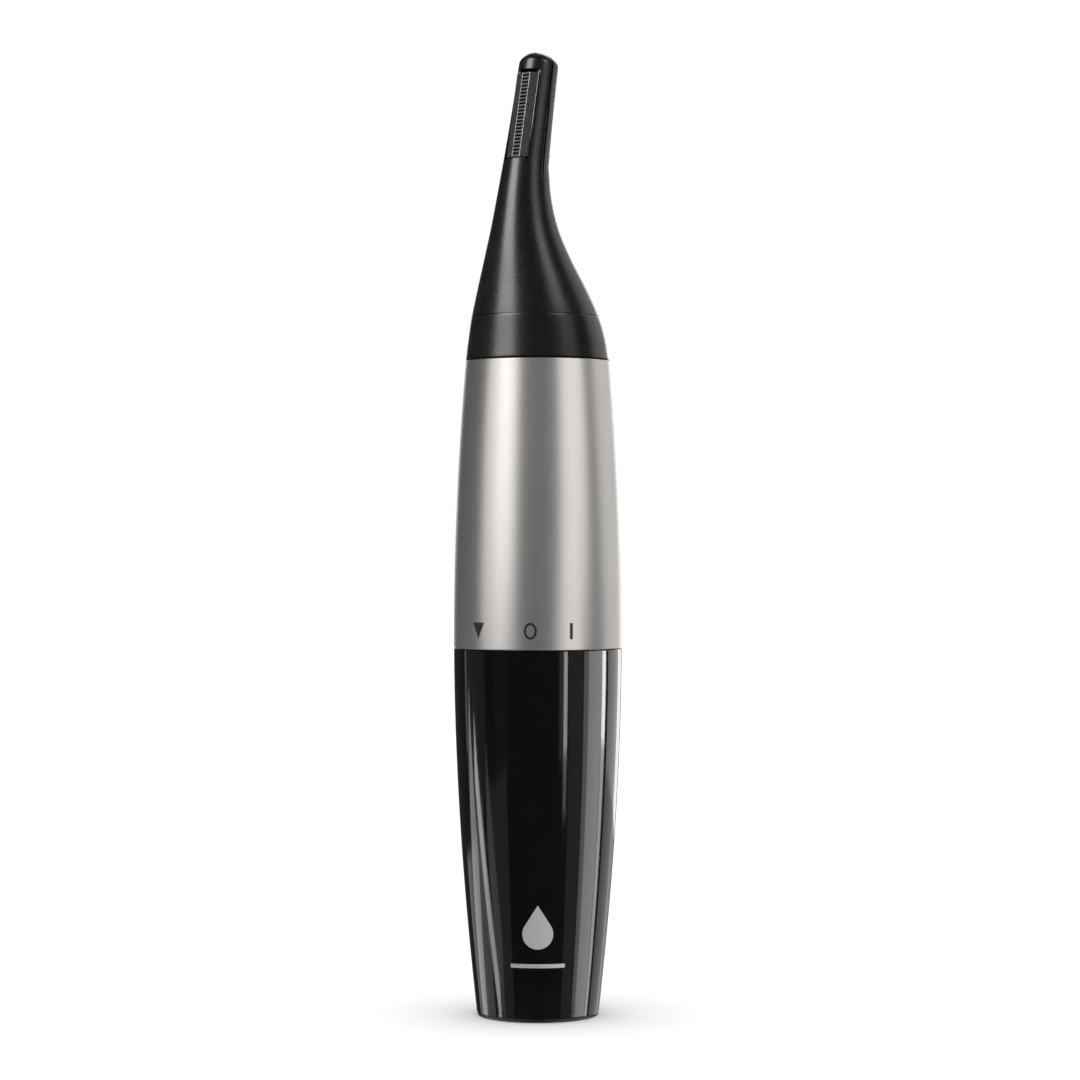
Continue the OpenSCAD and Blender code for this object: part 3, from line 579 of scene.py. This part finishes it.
def make_cap():
    rim = CAP_TOP - SEAM_GAP / 2
    edge = CAP_EDGE_R
    outline = [(0, 0)]
    outline += arc(body_r(BASE_FILLET) - BASE_FILLET, BASE_FILLET, BASE_FILLET, -90, -3, 14)
    outline += body_line(BASE_FILLET + CAP_WALL_START, rim - edge, BODY_STEPS)
    outline += arc(body_r(rim) - edge, rim - edge, edge, 10, 90, 6)
    outline += [(CAP_SPIGOT_R + CAP_CHAMFER, rim), (CAP_SPIGOT_R, rim - CAP_CHAMFER)]
    outline += [(CAP_SPIGOT_R, CAP_SPIGOT_Z), (CAP_TUBE_R, CAP_SPIGOT_Z - CAP_LEDGE)]
    outline += [(CAP_TUBE_R, CAP_TUBE_Z), (CAP_CELL_R, CAP_TUBE_Z - CAP_LEDGE)]
    outline += [(CAP_CELL_R, CAP_FLOOR), (0, CAP_FLOOR)]
    cap = lathe("cap_body", outline)
    stretches = [(CAP_CELL_R, CAP_FLOOR, CAP_TUBE_Z + BEYOND), (CAP_TUBE_R, CAP_TUBE_Z, STRIP_TOP)]
    half = STRIP_W / 2
    slots = [block(r - STRIP_LAP, r + STRIP_T, -half, half, low, high, turned(STRIP_TURN))
             for r, low, high in stretches]
    carved(cap, slots)
    lugs = [sector("lug", LUG_R, CAP_SPIGOT_R + LUG_LAP, LUG_Z, LUG_Z + LUG_H, FRONT + side, LUG_ANGLE)
            for side in (0, 180)]
    cap = joined("cap_body", [cap, *lugs])
    return finish_piece(smooth(cap), "cap", "cap_gloss", "cap_shell")


# ---- barrel and its marks ----

BARREL_BORE = 10
BARREL_LOW_BORE = 11.2
BARREL_STEP_Z = 72
BARREL_EDGE_R = 0.1
BARREL_CHAMFER = 0.15
BARREL_LEDGE = 0.5

# The printed switch marks: a triangle, a ring and a line
MARK_RISE = 2.9         # height above the cap's rim
MARK_HALF_H = 1.2
POINTER_HALF_W = 1.12
RING_OUTER = (0.97, 1.25)
RING_INNER = (0.62, 0.9)
LINE_HALF_W = 0.23
TURN_TO_OFF = 39
TURN_TO_ON = 67


def make_barrel():
    low = CAP_TOP + SEAM_GAP / 2
    edge = BARREL_EDGE_R
    outline = arc(body_r(low) - edge, low + edge, edge, -90, 0, 6)
    outline += body_line(low + 2 * edge, BARREL_TOP - 2 * edge, BODY_STEPS)
    outline += arc(body_r(BARREL_TOP) - edge, BARREL_TOP - edge, edge, 0, 90, 6)
    outline += [(BARREL_BORE + BARREL_CHAMFER, BARREL_TOP), (BARREL_BORE, BARREL_TOP - BARREL_CHAMFER)]
    outline += [(BARREL_BORE, BARREL_STEP_Z), (BARREL_LOW_BORE, BARREL_STEP_Z - BARREL_LEDGE)]
    outline += [(BARREL_LOW_BORE, low)]
    return finish_piece(smooth(lathe("barrel", outline)), "handle", "barrel_satin", "barrel_sleeve")


PRINT_T = 0.012         # how far a print stands out of the surface, and how deep its layer goes
PRINT_DEPTH = 0.1
PRINT_MARGIN = 0.5      # by how much the layer is larger than the outline cut out of it
PRINT_MARGIN_ANGLE = 3
PRINT_REACH = 1.5       # how far the outline's cutter reaches each way


def body_strip(turn, low, high, half_angle, steps=40):
    """A thin layer of print that covers a stretch of the body."""
    rows = []
    for k in range(steps + 1):
        z = low + (high - low) * k / steps
        r_in, r_out = body_r(z) - PRINT_DEPTH, body_r(z) + PRINT_T
        angles = [turn - half_angle + 2 * half_angle * i / steps for i in range(steps + 1)]
        row = [Vector((r_out * cosd(a), r_out * sind(a), z)) * MM for a in angles]
        row += [Vector((r_in * cosd(a), r_in * sind(a), z)) * MM for a in reversed(angles)]
        rows.append(row)
    return skin("strip", rows)


def outline_cutter(outline, turn, height):
    """A flat (across, up) outline as a bar that points straight out of the body."""
    r = body_r(height)
    place = turned(turn)
    return prism(
        "outline", outline, lambda across, up, out: place(out, across, height + up),
        r - PRINT_REACH, r + PRINT_REACH,
    )


def printed_shape(name, outline, turn, height, hole=None):
    """An outline cut out of the layer of print, with an optional hole."""
    half = math.degrees(max(abs(x) for x, _ in outline) / body_r(height)) + PRINT_MARGIN_ANGLE
    low = height + min(y for _, y in outline) - PRINT_MARGIN
    high = height + max(y for _, y in outline) + PRINT_MARGIN
    shape = body_strip(turn, low, high, half)
    shape.name = name
    carved(shape, [outline_cutter(outline, turn, height)], "INTERSECT")
    if hole:
        carved(shape, [outline_cutter(hole, turn, height)])
    return shape


def ellipse(radii, points=64):
    rx, ry = radii
    return [(rx * cosd(360 * i / points), ry * sind(360 * i / points)) for i in range(points)]


def rectangle(half_w, low, high):
    return [(-half_w, low), (half_w, low), (half_w, high), (-half_w, high)]


def make_marks():
    z = CAP_TOP + MARK_RISE
    triangle = [(-POINTER_HALF_W, MARK_HALF_H), (0, -MARK_HALF_H), (POINTER_HALF_W, MARK_HALF_H)]
    marks = joined("marks", [
        printed_shape("pointer", triangle, POINTER, z),
        printed_shape("off", ellipse(RING_OUTER), POINTER + TURN_TO_OFF, z, ellipse(RING_INNER)),
        printed_shape("on", rectangle(LINE_HALF_W, -MARK_HALF_H, MARK_HALF_H), POINTER + TURN_TO_ON, z),
    ])
    return finish_piece(smooth(marks), "handle", "mark_print", "switch_marks")


# The emblem: a water drop with a bar under it
EMBLEM_Z = 13.4
EMBLEM_TURN = FRONT + 36
DROP_R = 2.3
DROP_H = 6.6
BAR_HALF_W = 4
BAR_LOW = -5.1
BAR_HIGH = -4.5


def make_emblem():
    tangent = math.degrees(math.asin(DROP_R / (DROP_H - DROP_R)))
    drop = arc(0, 0, DROP_R, tangent, tangent - 180 - 2 * tangent, 40) + [(0, DROP_H - DROP_R)]
    emblem = joined("emblem", [
        printed_shape("drop", drop, EMBLEM_TURN, EMBLEM_Z),
        printed_shape("bar", rectangle(BAR_HALF_W, BAR_LOW, BAR_HIGH), EMBLEM_TURN, EMBLEM_Z),
    ])
    return finish_piece(smooth(emblem), "cap", "emblem_print", "cap_emblem")


# ---- head ----

SIDES = 144             # sides of the head's rings, and the number of rings of its three stretches
NECK_STEPS = 80
TIP_STEPS = 30
DOME_STEPS = 40
DOME_SOFTNESS = 0.1     # how softly the tip's side turns into its dome
DOME_LEAST_R = 0.02

HOLLOW_SIDES = 96
HOLLOW_STEPS = 40
WALL_LOW = 1.1          # the shell's wall at its foot, and how much it thins towards the tip
WALL_FALL = 0.45
WALL_TIP = 0.6


def head_rings(z0):
    """The head's outer form from height z0 up."""
    rings = [neck_ring(z0 + (TIP_Z - z0) * k / NECK_STEPS, 0, SIDES) for k in range(NECK_STEPS)]
    heights = [SHOULDER_S * k / TIP_STEPS for k in range(TIP_STEPS)]
    rings += [tip_ring(s, tip_side(s), SIDES) for s in heights[:-1]]
    start = heights[-1]
    for k in range(DOME_STEPS):
        s = start + (DOME_S + DOME_R - start) * sind(90 * k / DOME_STEPS)
        dome = math.sqrt(max(DOME_R ** 2 - (s - DOME_S) ** 2, DOME_LEAST_R ** 2))
        both = math.exp(-dome / DOME_SOFTNESS) + math.exp(-TIP_END_R / DOME_SOFTNESS)
        rings.append(tip_ring(s, max(-DOME_SOFTNESS * math.log(both), DOME_LEAST_R), SIDES))
    return rings


def head_hollow():
    """Room inside the head for the drive and the blade."""
    z0 = SEAM_Z - BEYOND
    shares = [k / HOLLOW_STEPS for k in range(HOLLOW_STEPS + 1)]
    rings = [neck_ring(z0 + (TIP_Z - z0) * t, WALL_LOW - WALL_FALL * t, HOLLOW_SIDES) for t in shares]
    rings.append(tip_ring(WINDOW_L, tip_side(WINDOW_L) - WALL_TIP, HOLLOW_SIDES))
    return skin("hollow", rings)


PAST_TIP = 6            # further out than the tip's skin, and than its dome
PAST_DOME = 20


def cover_zone(side):
    """Space of the tip's back cover, grown for the shell with side 1 and shrunk for the cover with -1."""
    low_y, low_s = PARTING_Y - side * PARTING_GAP / 2, COVER_S - side * COVER_GAP / 2
    return block(-PAST_TIP, PAST_TIP, low_y, PAST_TIP, low_s, PAST_DOME, in_tip)


# The rounded groove down each side, in the tip's frame
SIDE_GROOVE_R = 0.3
SIDE_GROOVE_LOW = -2.7
SIDE_GROOVE_FADE = 8.6  # where it starts to fade
SIDE_GROOVE_TOP = 10.8
SIDE_FLARE = 0.13       # how fast the neck widens below the tip
SIDE_GROOVE_STEPS = 24
SIDE_GROOVE_FADE_STEPS = 8


def side_grooves():
    """Cutters for the rounded grooves where the tip's cover meets the shell."""
    radius, start = SIDE_GROOVE_R, SIDE_GROOVE_LOW + SIDE_GROOVE_R
    steps, fade_steps = SIDE_GROOVE_STEPS, SIDE_GROOVE_FADE_STEPS
    stations = [(start - radius * cosd(a), radius * sind(a)) for a in range(5, 86, 10)]
    stations += [(start + (SIDE_GROOVE_FADE - start) * k / steps, radius) for k in range(steps + 1)]
    fade = SIDE_GROOVE_TOP - SIDE_GROOVE_FADE
    stations += [(SIDE_GROOVE_FADE + fade * k / fade_steps, radius * (1 - k / (fade_steps + 1)))
                 for k in range(1, fade_steps + 1)]
    cutters = []
    for side in (-1, 1):
        rings = []
        for s, r in stations:
            out = tip_side(max(s, 0)) + SIDE_FLARE * max(-s, 0)
            x = side * math.sqrt(out ** 2 - PARTING_Y ** 2)
            rings.append([in_tip(across, y, s) for across, y in arc(x, PARTING_Y, r, 0, 345, 23)])
        cutters.append(skin("groove", rings))
    return cutters


CAVITY_HALF_W = 1.6     # the blade's channel behind the window
CAVITY_Y = -2.35
CAVITY_LOW = -2


def make_head_front():
    front = skin("head_front", head_rings(SEAM_Z + HEAD_SEAM / 2))
    window = block(-WINDOW_W / 2, WINDOW_W / 2, -PAST_TIP, FLANK_Y + BLADE_T, 0, WINDOW_L, in_tip)
    cavity = block(-CAVITY_HALF_W, CAVITY_HALF_W, CAVITY_Y, PARTING_Y, CAVITY_LOW, WINDOW_L, in_tip)
    carved(front, [head_hollow(), *side_grooves(), cover_zone(1), window, cavity])
    return finish_piece(smooth(front), "head", "head_satin", "head_shell")


SPINE_Z = 120           # a height below the cover
RIB = (-0.9, 0.9, 1.1, 5, 4, 10)  # the rib inside the cover that backs the blade's rod, in the tip's frame


def make_spine():
    spine = skin("spine", head_rings(SPINE_Z))
    room = carved(head_hollow(), [block(*RIB, in_tip)])
    carved(spine, [room, *side_grooves()])
    carved(spine, [cover_zone(-1)], "INTERSECT")
    return finish_piece(smooth(spine), "head", "head_satin", "spine_cover")


# The base ring's rounded edges, its spigot into the shell, its socket for the barrel's spigot and
# that socket's key slot, the bore for the coupler, and the room above its web
RING_EDGE = 0.06
RING_EDGE_MID = 0.3     # where the middle of a rounded edge lies, as a share of its radius
RING_STEPS = 24
LIP_R = 7.6
LIP_H = 1.4
SOCKET_R = 7.12
SOCKET_TOP = 104.2
KEY_HALF_W = 0.92
KEY_Y = (6, 7.65)
COUPLER_BORE_R = 2.6
COUPLER_BORE_Z = (103.2, 108.2)
DRIVE_ROOM_R = 6.6
DRIVE_ROOM_Z = (105.4, 110.4)


def cylinder(r, z_low, z_high, y=0.0, sides=96):
    """An upright cylinder, its middle moved along Y."""
    return prism("cutter", arc(0, y, r, 0, 360 * (sides - 1) / sides, sides - 1), upright, z_low, z_high)


def make_head_ring():
    z0, z1 = BARREL_TOP + SEAM_GAP, SEAM_Z - HEAD_SEAM / 2
    edge = RING_EDGE
    mid = edge * RING_EDGE_MID
    rings = [neck_ring(z0, edge, SIDES), neck_ring(z0 + mid, mid, SIDES)]
    straight = z1 - z0 - 2 * edge
    rings += [neck_ring(z0 + edge + straight * k / RING_STEPS, 0, SIDES) for k in range(RING_STEPS + 1)]
    rings += [neck_ring(z1 - mid, mid, SIDES), neck_ring(z1, edge, SIDES)]
    base = skin("head_ring", rings)
    middle_y = -NECK[2][1]
    carved(base, [cylinder(LIP_R, z1 - BEYOND, z1 + LIP_H, middle_y)], "UNION")
    carved(base, [
        cylinder(SOCKET_R, z0 - BEYOND, SOCKET_TOP),
        cylinder(COUPLER_BORE_R, *COUPLER_BORE_Z),
        cylinder(DRIVE_ROOM_R, *DRIVE_ROOM_Z, middle_y),
        block(-KEY_HALF_W, KEY_HALF_W, *KEY_Y, z0 - BEYOND, SOCKET_TOP),
    ])
    return finish_piece(smooth(base), "head", "head_satin", "head_base")


# ---- blade ----

SLOTS = 23
SLOT_PITCH = 0.56
SLOT_W = 0.3
SLOT_L = 1.26
SLOT_Y = (-4, -1)       # from in front of the plate to behind it
EDGE_R = 0.09
BEND_SOFTNESS = 0.04
BLADE_LOW = 0.5         # gap below the plate, and above it
BLADE_HIGH = 0.55


def blade_line(steps=48):
    """Outer face of the bent plate from side to side, with its bends and its two edges rounded."""
    slope = (FLANK_Y - RIDGE_Y) / (BLADE_HALF - RIDGE_W / 2)
    lean = math.degrees(math.atan(slope))
    flat = BLADE_HALF - EDGE_R * (1 - sind(lean))
    soft = BEND_SOFTNESS * slope
    points = []
    for i in range(steps + 1):
        x = -flat + 2 * flat * i / steps
        fall = (abs(x) - RIDGE_W / 2) * slope
        points.append((x, RIDGE_Y + soft * math.log(1 + math.exp(fall / soft))))
    rise = EDGE_R * (1 - sind(lean)) / cosd(lean)
    edge = arc(BLADE_HALF - EDGE_R, FLANK_Y + rise, EDGE_R, lean - 90, 0, 6)
    return [(-x, y) for x, y in reversed(edge)] + points[1:-1] + edge


def make_blade_plate():
    outer = blade_line()
    back = [(-BLADE_HALF, FLANK_Y + BLADE_T), (-RIDGE_W / 2, RIDGE_Y + BLADE_T),
            (RIDGE_W / 2, RIDGE_Y + BLADE_T), (BLADE_HALF, FLANK_Y + BLADE_T)]
    plate = prism("blade_plate", outer + back[::-1], in_tip, BLADE_LOW, WINDOW_L - BLADE_HIGH)
    first = (WINDOW_L - SLOT_PITCH * (SLOTS - 1)) / 2
    cutters = []
    for k in range(SLOTS):
        middle = first + SLOT_PITCH * k
        cutters.append(block(
            -SLOT_L / 2, SLOT_L / 2, *SLOT_Y, middle - SLOT_W / 2, middle + SLOT_W / 2, in_tip))
    carved(plate, [joined("slots", cutters)])
    return finish_piece(smooth(plate), "head", "blade_steel", "stationary_blade")


# ---- the studio, in metres and degrees ----

CAMERA_TURN = 36        # direction of the camera, past the front
CAMERA_DISTANCE = 0.4545
CAMERA_HEIGHT = 0.07175
CAMERA_ASIDE = 0.00033
CAMERA_LENS = 100
CAMERA_SENSOR = 36
CAMERA_CLIP = (0.01, 20)

WARM = (1, 0.97, 0.945)
LIGHT_DISTANCE = 0.9
EYE = 0.07              # height where a soft box's upper part meets its lower part
BOX_TOP = 0.75
BOX_BOTTOM = -0.35
HEAD_BOX_TOP = 1.4
STRIP_CENTRE = 0.03     # height that a strip's rise is measured from

FLOOR_HALF = 3000       # millimetres, like its thickness
FLOOR_T = 2
FLOOR_PALE = ((0.86, 0.86, 0.86), (0.88, 0.88, 0.88))
FLOOR_LIGHT = 4.2
FLOOR_LIGHT_SPREAD = 70
ROOM_GLOW = 0.05        # how bright the room looks in the object
FLOOR_GLOW = (0.14, 0.62)  # how bright the floor looks in it, towards the camera and aside of it
FLOOR_GLOW_FROM = 20    # how far down the floor's glow starts, and where it is full
FLOOR_GLOW_FULL = 38


def direction(turn):
    return Vector((sind(turn), -cosd(turn), 0))


def make_camera():
    data = bpy.data.cameras.new("camera")
    data.lens = CAMERA_LENS
    data.sensor_width = CAMERA_SENSOR
    data.clip_start, data.clip_end = CAMERA_CLIP
    camera = bpy.data.objects.new("camera", data)
    bpy.context.scene.collection.objects.link(camera)
    out = direction(CAMERA_TURN)
    across = direction(CAMERA_TURN + 90)
    camera.location = out * CAMERA_DISTANCE + across * CAMERA_ASIDE + Vector((0, 0, CAMERA_HEIGHT))
    camera.rotation_euler = (-out).to_track_quat("-Z", "Y").to_euler()
    bpy.context.scene.camera = camera


def receivers(name, objects):
    """The group of pieces that a light shines on."""
    group = bpy.data.collections.new(name)
    for obj in objects:
        group.objects.link(obj)
    return group


def soft_box(name, place, facing, radiance, width, height, group):
    """A flat soft light that shines along facing, seen only by one group of pieces."""
    data = bpy.data.lights.new(name, "AREA")
    data.shape = "RECTANGLE"
    data.size = width
    data.size_y = height
    data.energy = radiance * math.pi * width * height
    data.color = WARM
    light = bpy.data.objects.new(name, data)
    bpy.context.scene.collection.objects.link(light)
    light.matrix_world = Matrix.Translation(place) @ facing.to_4x4()
    light.visible_camera = False
    light.light_linking.receiver_collection = group


def spanned(angle):
    """Width of a soft box that covers an angle."""
    return 2 * LIGHT_DISTANCE * math.tan(math.radians(angle / 2))


def panel(name, group, turn, width, upper=0.0, lower=0.0, top=BOX_TOP, bottom=BOX_BOTTOM, level=EYE):
    """An upright soft box, with a radiance of its own above and below a level.

    It is turned from the camera's direction, and its width is the angle that it covers.
    """
    out = direction(CAMERA_TURN + turn)
    facing = out.to_track_quat("Z", "Y").to_matrix()
    for part, radiance, low, high in (("upper", upper, level, top), ("lower", lower, bottom, level)):
        if radiance:
            place = out * LIGHT_DISTANCE + Vector((0, 0, (low + high) / 2))
            soft_box(name + "_" + part, place, facing, radiance, spanned(width), high - low, group)


def strip(name, group, start, end, width, radiance):
    """A narrow soft box from one direction to another, each a turn from the camera and a rise."""
    ends = []
    for turn, rise in (start, end):
        height = STRIP_CENTRE + LIGHT_DISTANCE * math.tan(math.radians(rise))
        ends.append(direction(CAMERA_TURN + turn) * LIGHT_DISTANCE + Vector((0, 0, height)))
    along = ends[1] - ends[0]
    middle = (ends[0] + ends[1]) / 2
    z = Vector((middle.x, middle.y, 0)).normalized()
    y = (along - along.dot(z) * z).normalized()
    facing = Matrix((y.cross(z), y, z)).transposed()
    soft_box(name, middle, facing, radiance, spanned(width), along.length, group)


def make_floor():
    floor = block(-FLOOR_HALF, FLOOR_HALF, -FLOOR_HALF, FLOOR_HALF, -FLOOR_T, 0, name="floor")
    m = Nodes("floor")
    m.set(Base_Color=m.mix(m.ranged(m.noise(8, 3), 0, 1), *FLOOR_PALE), Roughness=0.9)
    m.bump(m.noise(300, 3), 1e-5)
    floor.data.materials.append(m.mat)
    floor.visible_glossy = False
    floor.visible_shadow = False
    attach(floor, "cap")  # the cap is what stands on it, and stays there when the handle is pulled off

    sun = bpy.data.lights.new("overhead", "SUN")
    sun.energy = FLOOR_LIGHT
    sun.angle = math.radians(FLOOR_LIGHT_SPREAD)
    overhead = bpy.data.objects.new("overhead", sun)
    bpy.context.scene.collection.objects.link(overhead)
    overhead.light_linking.receiver_collection = receivers("floor_light", [floor])


def make_world():
    """White behind the object. Reflections see a dim room, with a pale floor below the soft boxes."""
    world = bpy.data.worlds.new("studio")
    world.use_nodes = True
    tree = world.node_tree

    def node(kind, values=(), **settings):
        made = tree.nodes.new(kind)
        for key, value in settings.items():
            setattr(made, key, value)
        for key, value in values:
            made.inputs[key].default_value = value
        return made

    toward = node("ShaderNodeTexCoord").outputs["Generated"]
    split = node("ShaderNodeSeparateXYZ")
    aside = node("ShaderNodeVectorMath", [(1, direction(CAMERA_TURN + 90))], operation="DOT_PRODUCT")
    size = node("ShaderNodeMath", operation="ABSOLUTE")
    glow = node("ShaderNodeMapRange", [
        ("From Max", 0.5), ("To Min", FLOOR_GLOW[0]), ("To Max", FLOOR_GLOW[1])])
    below = node("ShaderNodeMapRange", [
        ("From Min", -sind(FLOOR_GLOW_FROM)), ("From Max", -sind(FLOOR_GLOW_FULL)), ("To Min", ROOM_GLOW)])
    path = node("ShaderNodeLightPath")
    mix = node("ShaderNodeMix", data_type="FLOAT")
    mix.inputs["B"].default_value = 1.0
    back = tree.nodes["Background"]
    back.inputs["Color"].default_value = (1, 1, 1, 1)
    for a, b in (
        (toward, split.inputs["Vector"]), (split.outputs["Z"], below.inputs["Value"]),
        (toward, aside.inputs[0]), (aside.outputs["Value"], size.inputs[0]),
        (size.outputs["Value"], glow.inputs["Value"]), (glow.outputs["Result"], below.inputs["To Max"]),
        (below.outputs["Result"], mix.inputs["A"]), (path.outputs["Is Camera Ray"], mix.inputs["Factor"]),
        (mix.outputs["Result"], back.inputs["Strength"]),
    ):
        tree.links.new(a, b)
    bpy.context.scene.world = world
    bpy.context.scene.view_settings.view_transform = "Standard"


def light_barrel(group):
    """Satin metal: a bright box on each side of a dark front, and fills towards the back."""
    panel("barrel_key", group, -57, 54, upper=1.0)
    panel("barrel_key_core", group, -48, 28, upper=0.75)
    panel("barrel_key_low", group, -63, 38, lower=0.45)
    panel("barrel_front", group, 0, 50, upper=0.13, lower=0.06)
    panel("barrel_right", group, 54, 42, upper=1.15)
    panel("barrel_right_low", group, 44, 36, lower=0.9)
    panel("barrel_side", group, 88, 20, upper=0.12, lower=0.15)
    panel("barrel_far", group, 120, 48, upper=0.68)
    panel("barrel_far_low", group, 132, 60, lower=0.6)
    panel("barrel_back_right", group, 165, 30, upper=1.7, lower=0.9)
    panel("barrel_back_left", group, -168, 24, upper=1.1, lower=0.6)
    panel("barrel_left", group, -120, 56, upper=0.07, lower=0.09)


def light_head(group):
    """Black satin plastic: the same sides, stronger, because it returns so little, and higher up."""
    high = HEAD_BOX_TOP
    panel("head_key", group, -57, 34, upper=9.6, lower=4.2, top=high, level=0.4, bottom=EYE)
    panel("head_right", group, 47, 24, upper=4.4, top=high, level=0.6)
    panel("head_right_low", group, 54, 26, upper=0.9, top=0.6)
    panel("head_far", group, 120, 40, upper=1.0, top=high)
    panel("head_back_right", group, 165, 30, upper=3.6, top=high)
    panel("head_back_left", group, -172, 16, upper=1.2, top=high)


def light_cap(group):
    """Gloss plastic: narrow boxes that draw upright streaks, and slanted ones near the floor at the left."""
    panel("cap_streak", group, 38.5, 5, upper=6.5, lower=1.5, level=-0.09, bottom=-0.15)
    panel("cap_streak_side", group, 33, 7, upper=0.4, level=-0.10)
    panel("cap_soft", group, 54, 20, upper=0.3, lower=0.25)
    panel("cap_side", group, 86, 24, upper=3.8, level=-0.32)
    panel("cap_side_edge", group, 70, 8, upper=1.6, level=-0.32)
    panel("cap_edge", group, 103, 8, upper=13, lower=4.5, level=-0.06)
    panel("cap_far", group, 131, 36, upper=1.6, lower=0.8, level=-0.08)
    panel("cap_left", group, -117, 5, upper=0.7, level=-0.06)
    panel("cap_rim", group, 154, 18, upper=2.6, lower=0.6, level=-0.08)
    panel("cap_left_haze", group, -95, 34, upper=0.12, level=-0.12)
    panel("cap_front_haze", group, -52, 20, upper=0.05, level=-0.12)
    panel("cap_left_low", group, -112, 50, lower=0.8, level=-0.13)
    panel("cap_front_low", group, -62, 34, lower=0.22, level=-0.11)
    strip("cap_slant", group, (-101, -6), (-73, -21), 4, 5.2)
    strip("cap_slant_faint", group, (-80, -9), (-64, -20), 7, 0.6)
    strip("cap_wedge", group, (-106, -7), (-122, -20), 12, 2.3)


def light_blade(group):
    """Bent steel: narrow boxes for its two bends and its edge, and little else."""
    panel("blade_left", group, -96, 10, upper=2.7)
    panel("blade_right", group, -54, 10, upper=2.7)
    panel("blade_ridge", group, -75, 14, upper=0.3)
    panel("blade_edge", group, 50, 48, upper=2.8)


# ---- assembly ----

make_camera()
cap = [make_cap(), make_emblem()]
barrel = [make_barrel(), make_marks()]
head = [make_head_front(), make_spine(), make_head_ring()]
blade = [make_blade_plate()]

slots = {part["node"]: part["material_slot"] for part in frame["record"]["subparts"]}
inner = []
for node, obj in frame["nodes"].items():
    obj.data.materials.clear()
    obj.data.materials.append(MATERIALS[slots[node]])
    (blade if node == "moving_blade" else inner).append(obj)

make_floor()
make_world()
light_cap(receivers("cap_light", cap))
light_barrel(receivers("barrel_light", barrel + inner))
light_head(receivers("head_light", head))
light_blade(receivers("blade_light", blade))
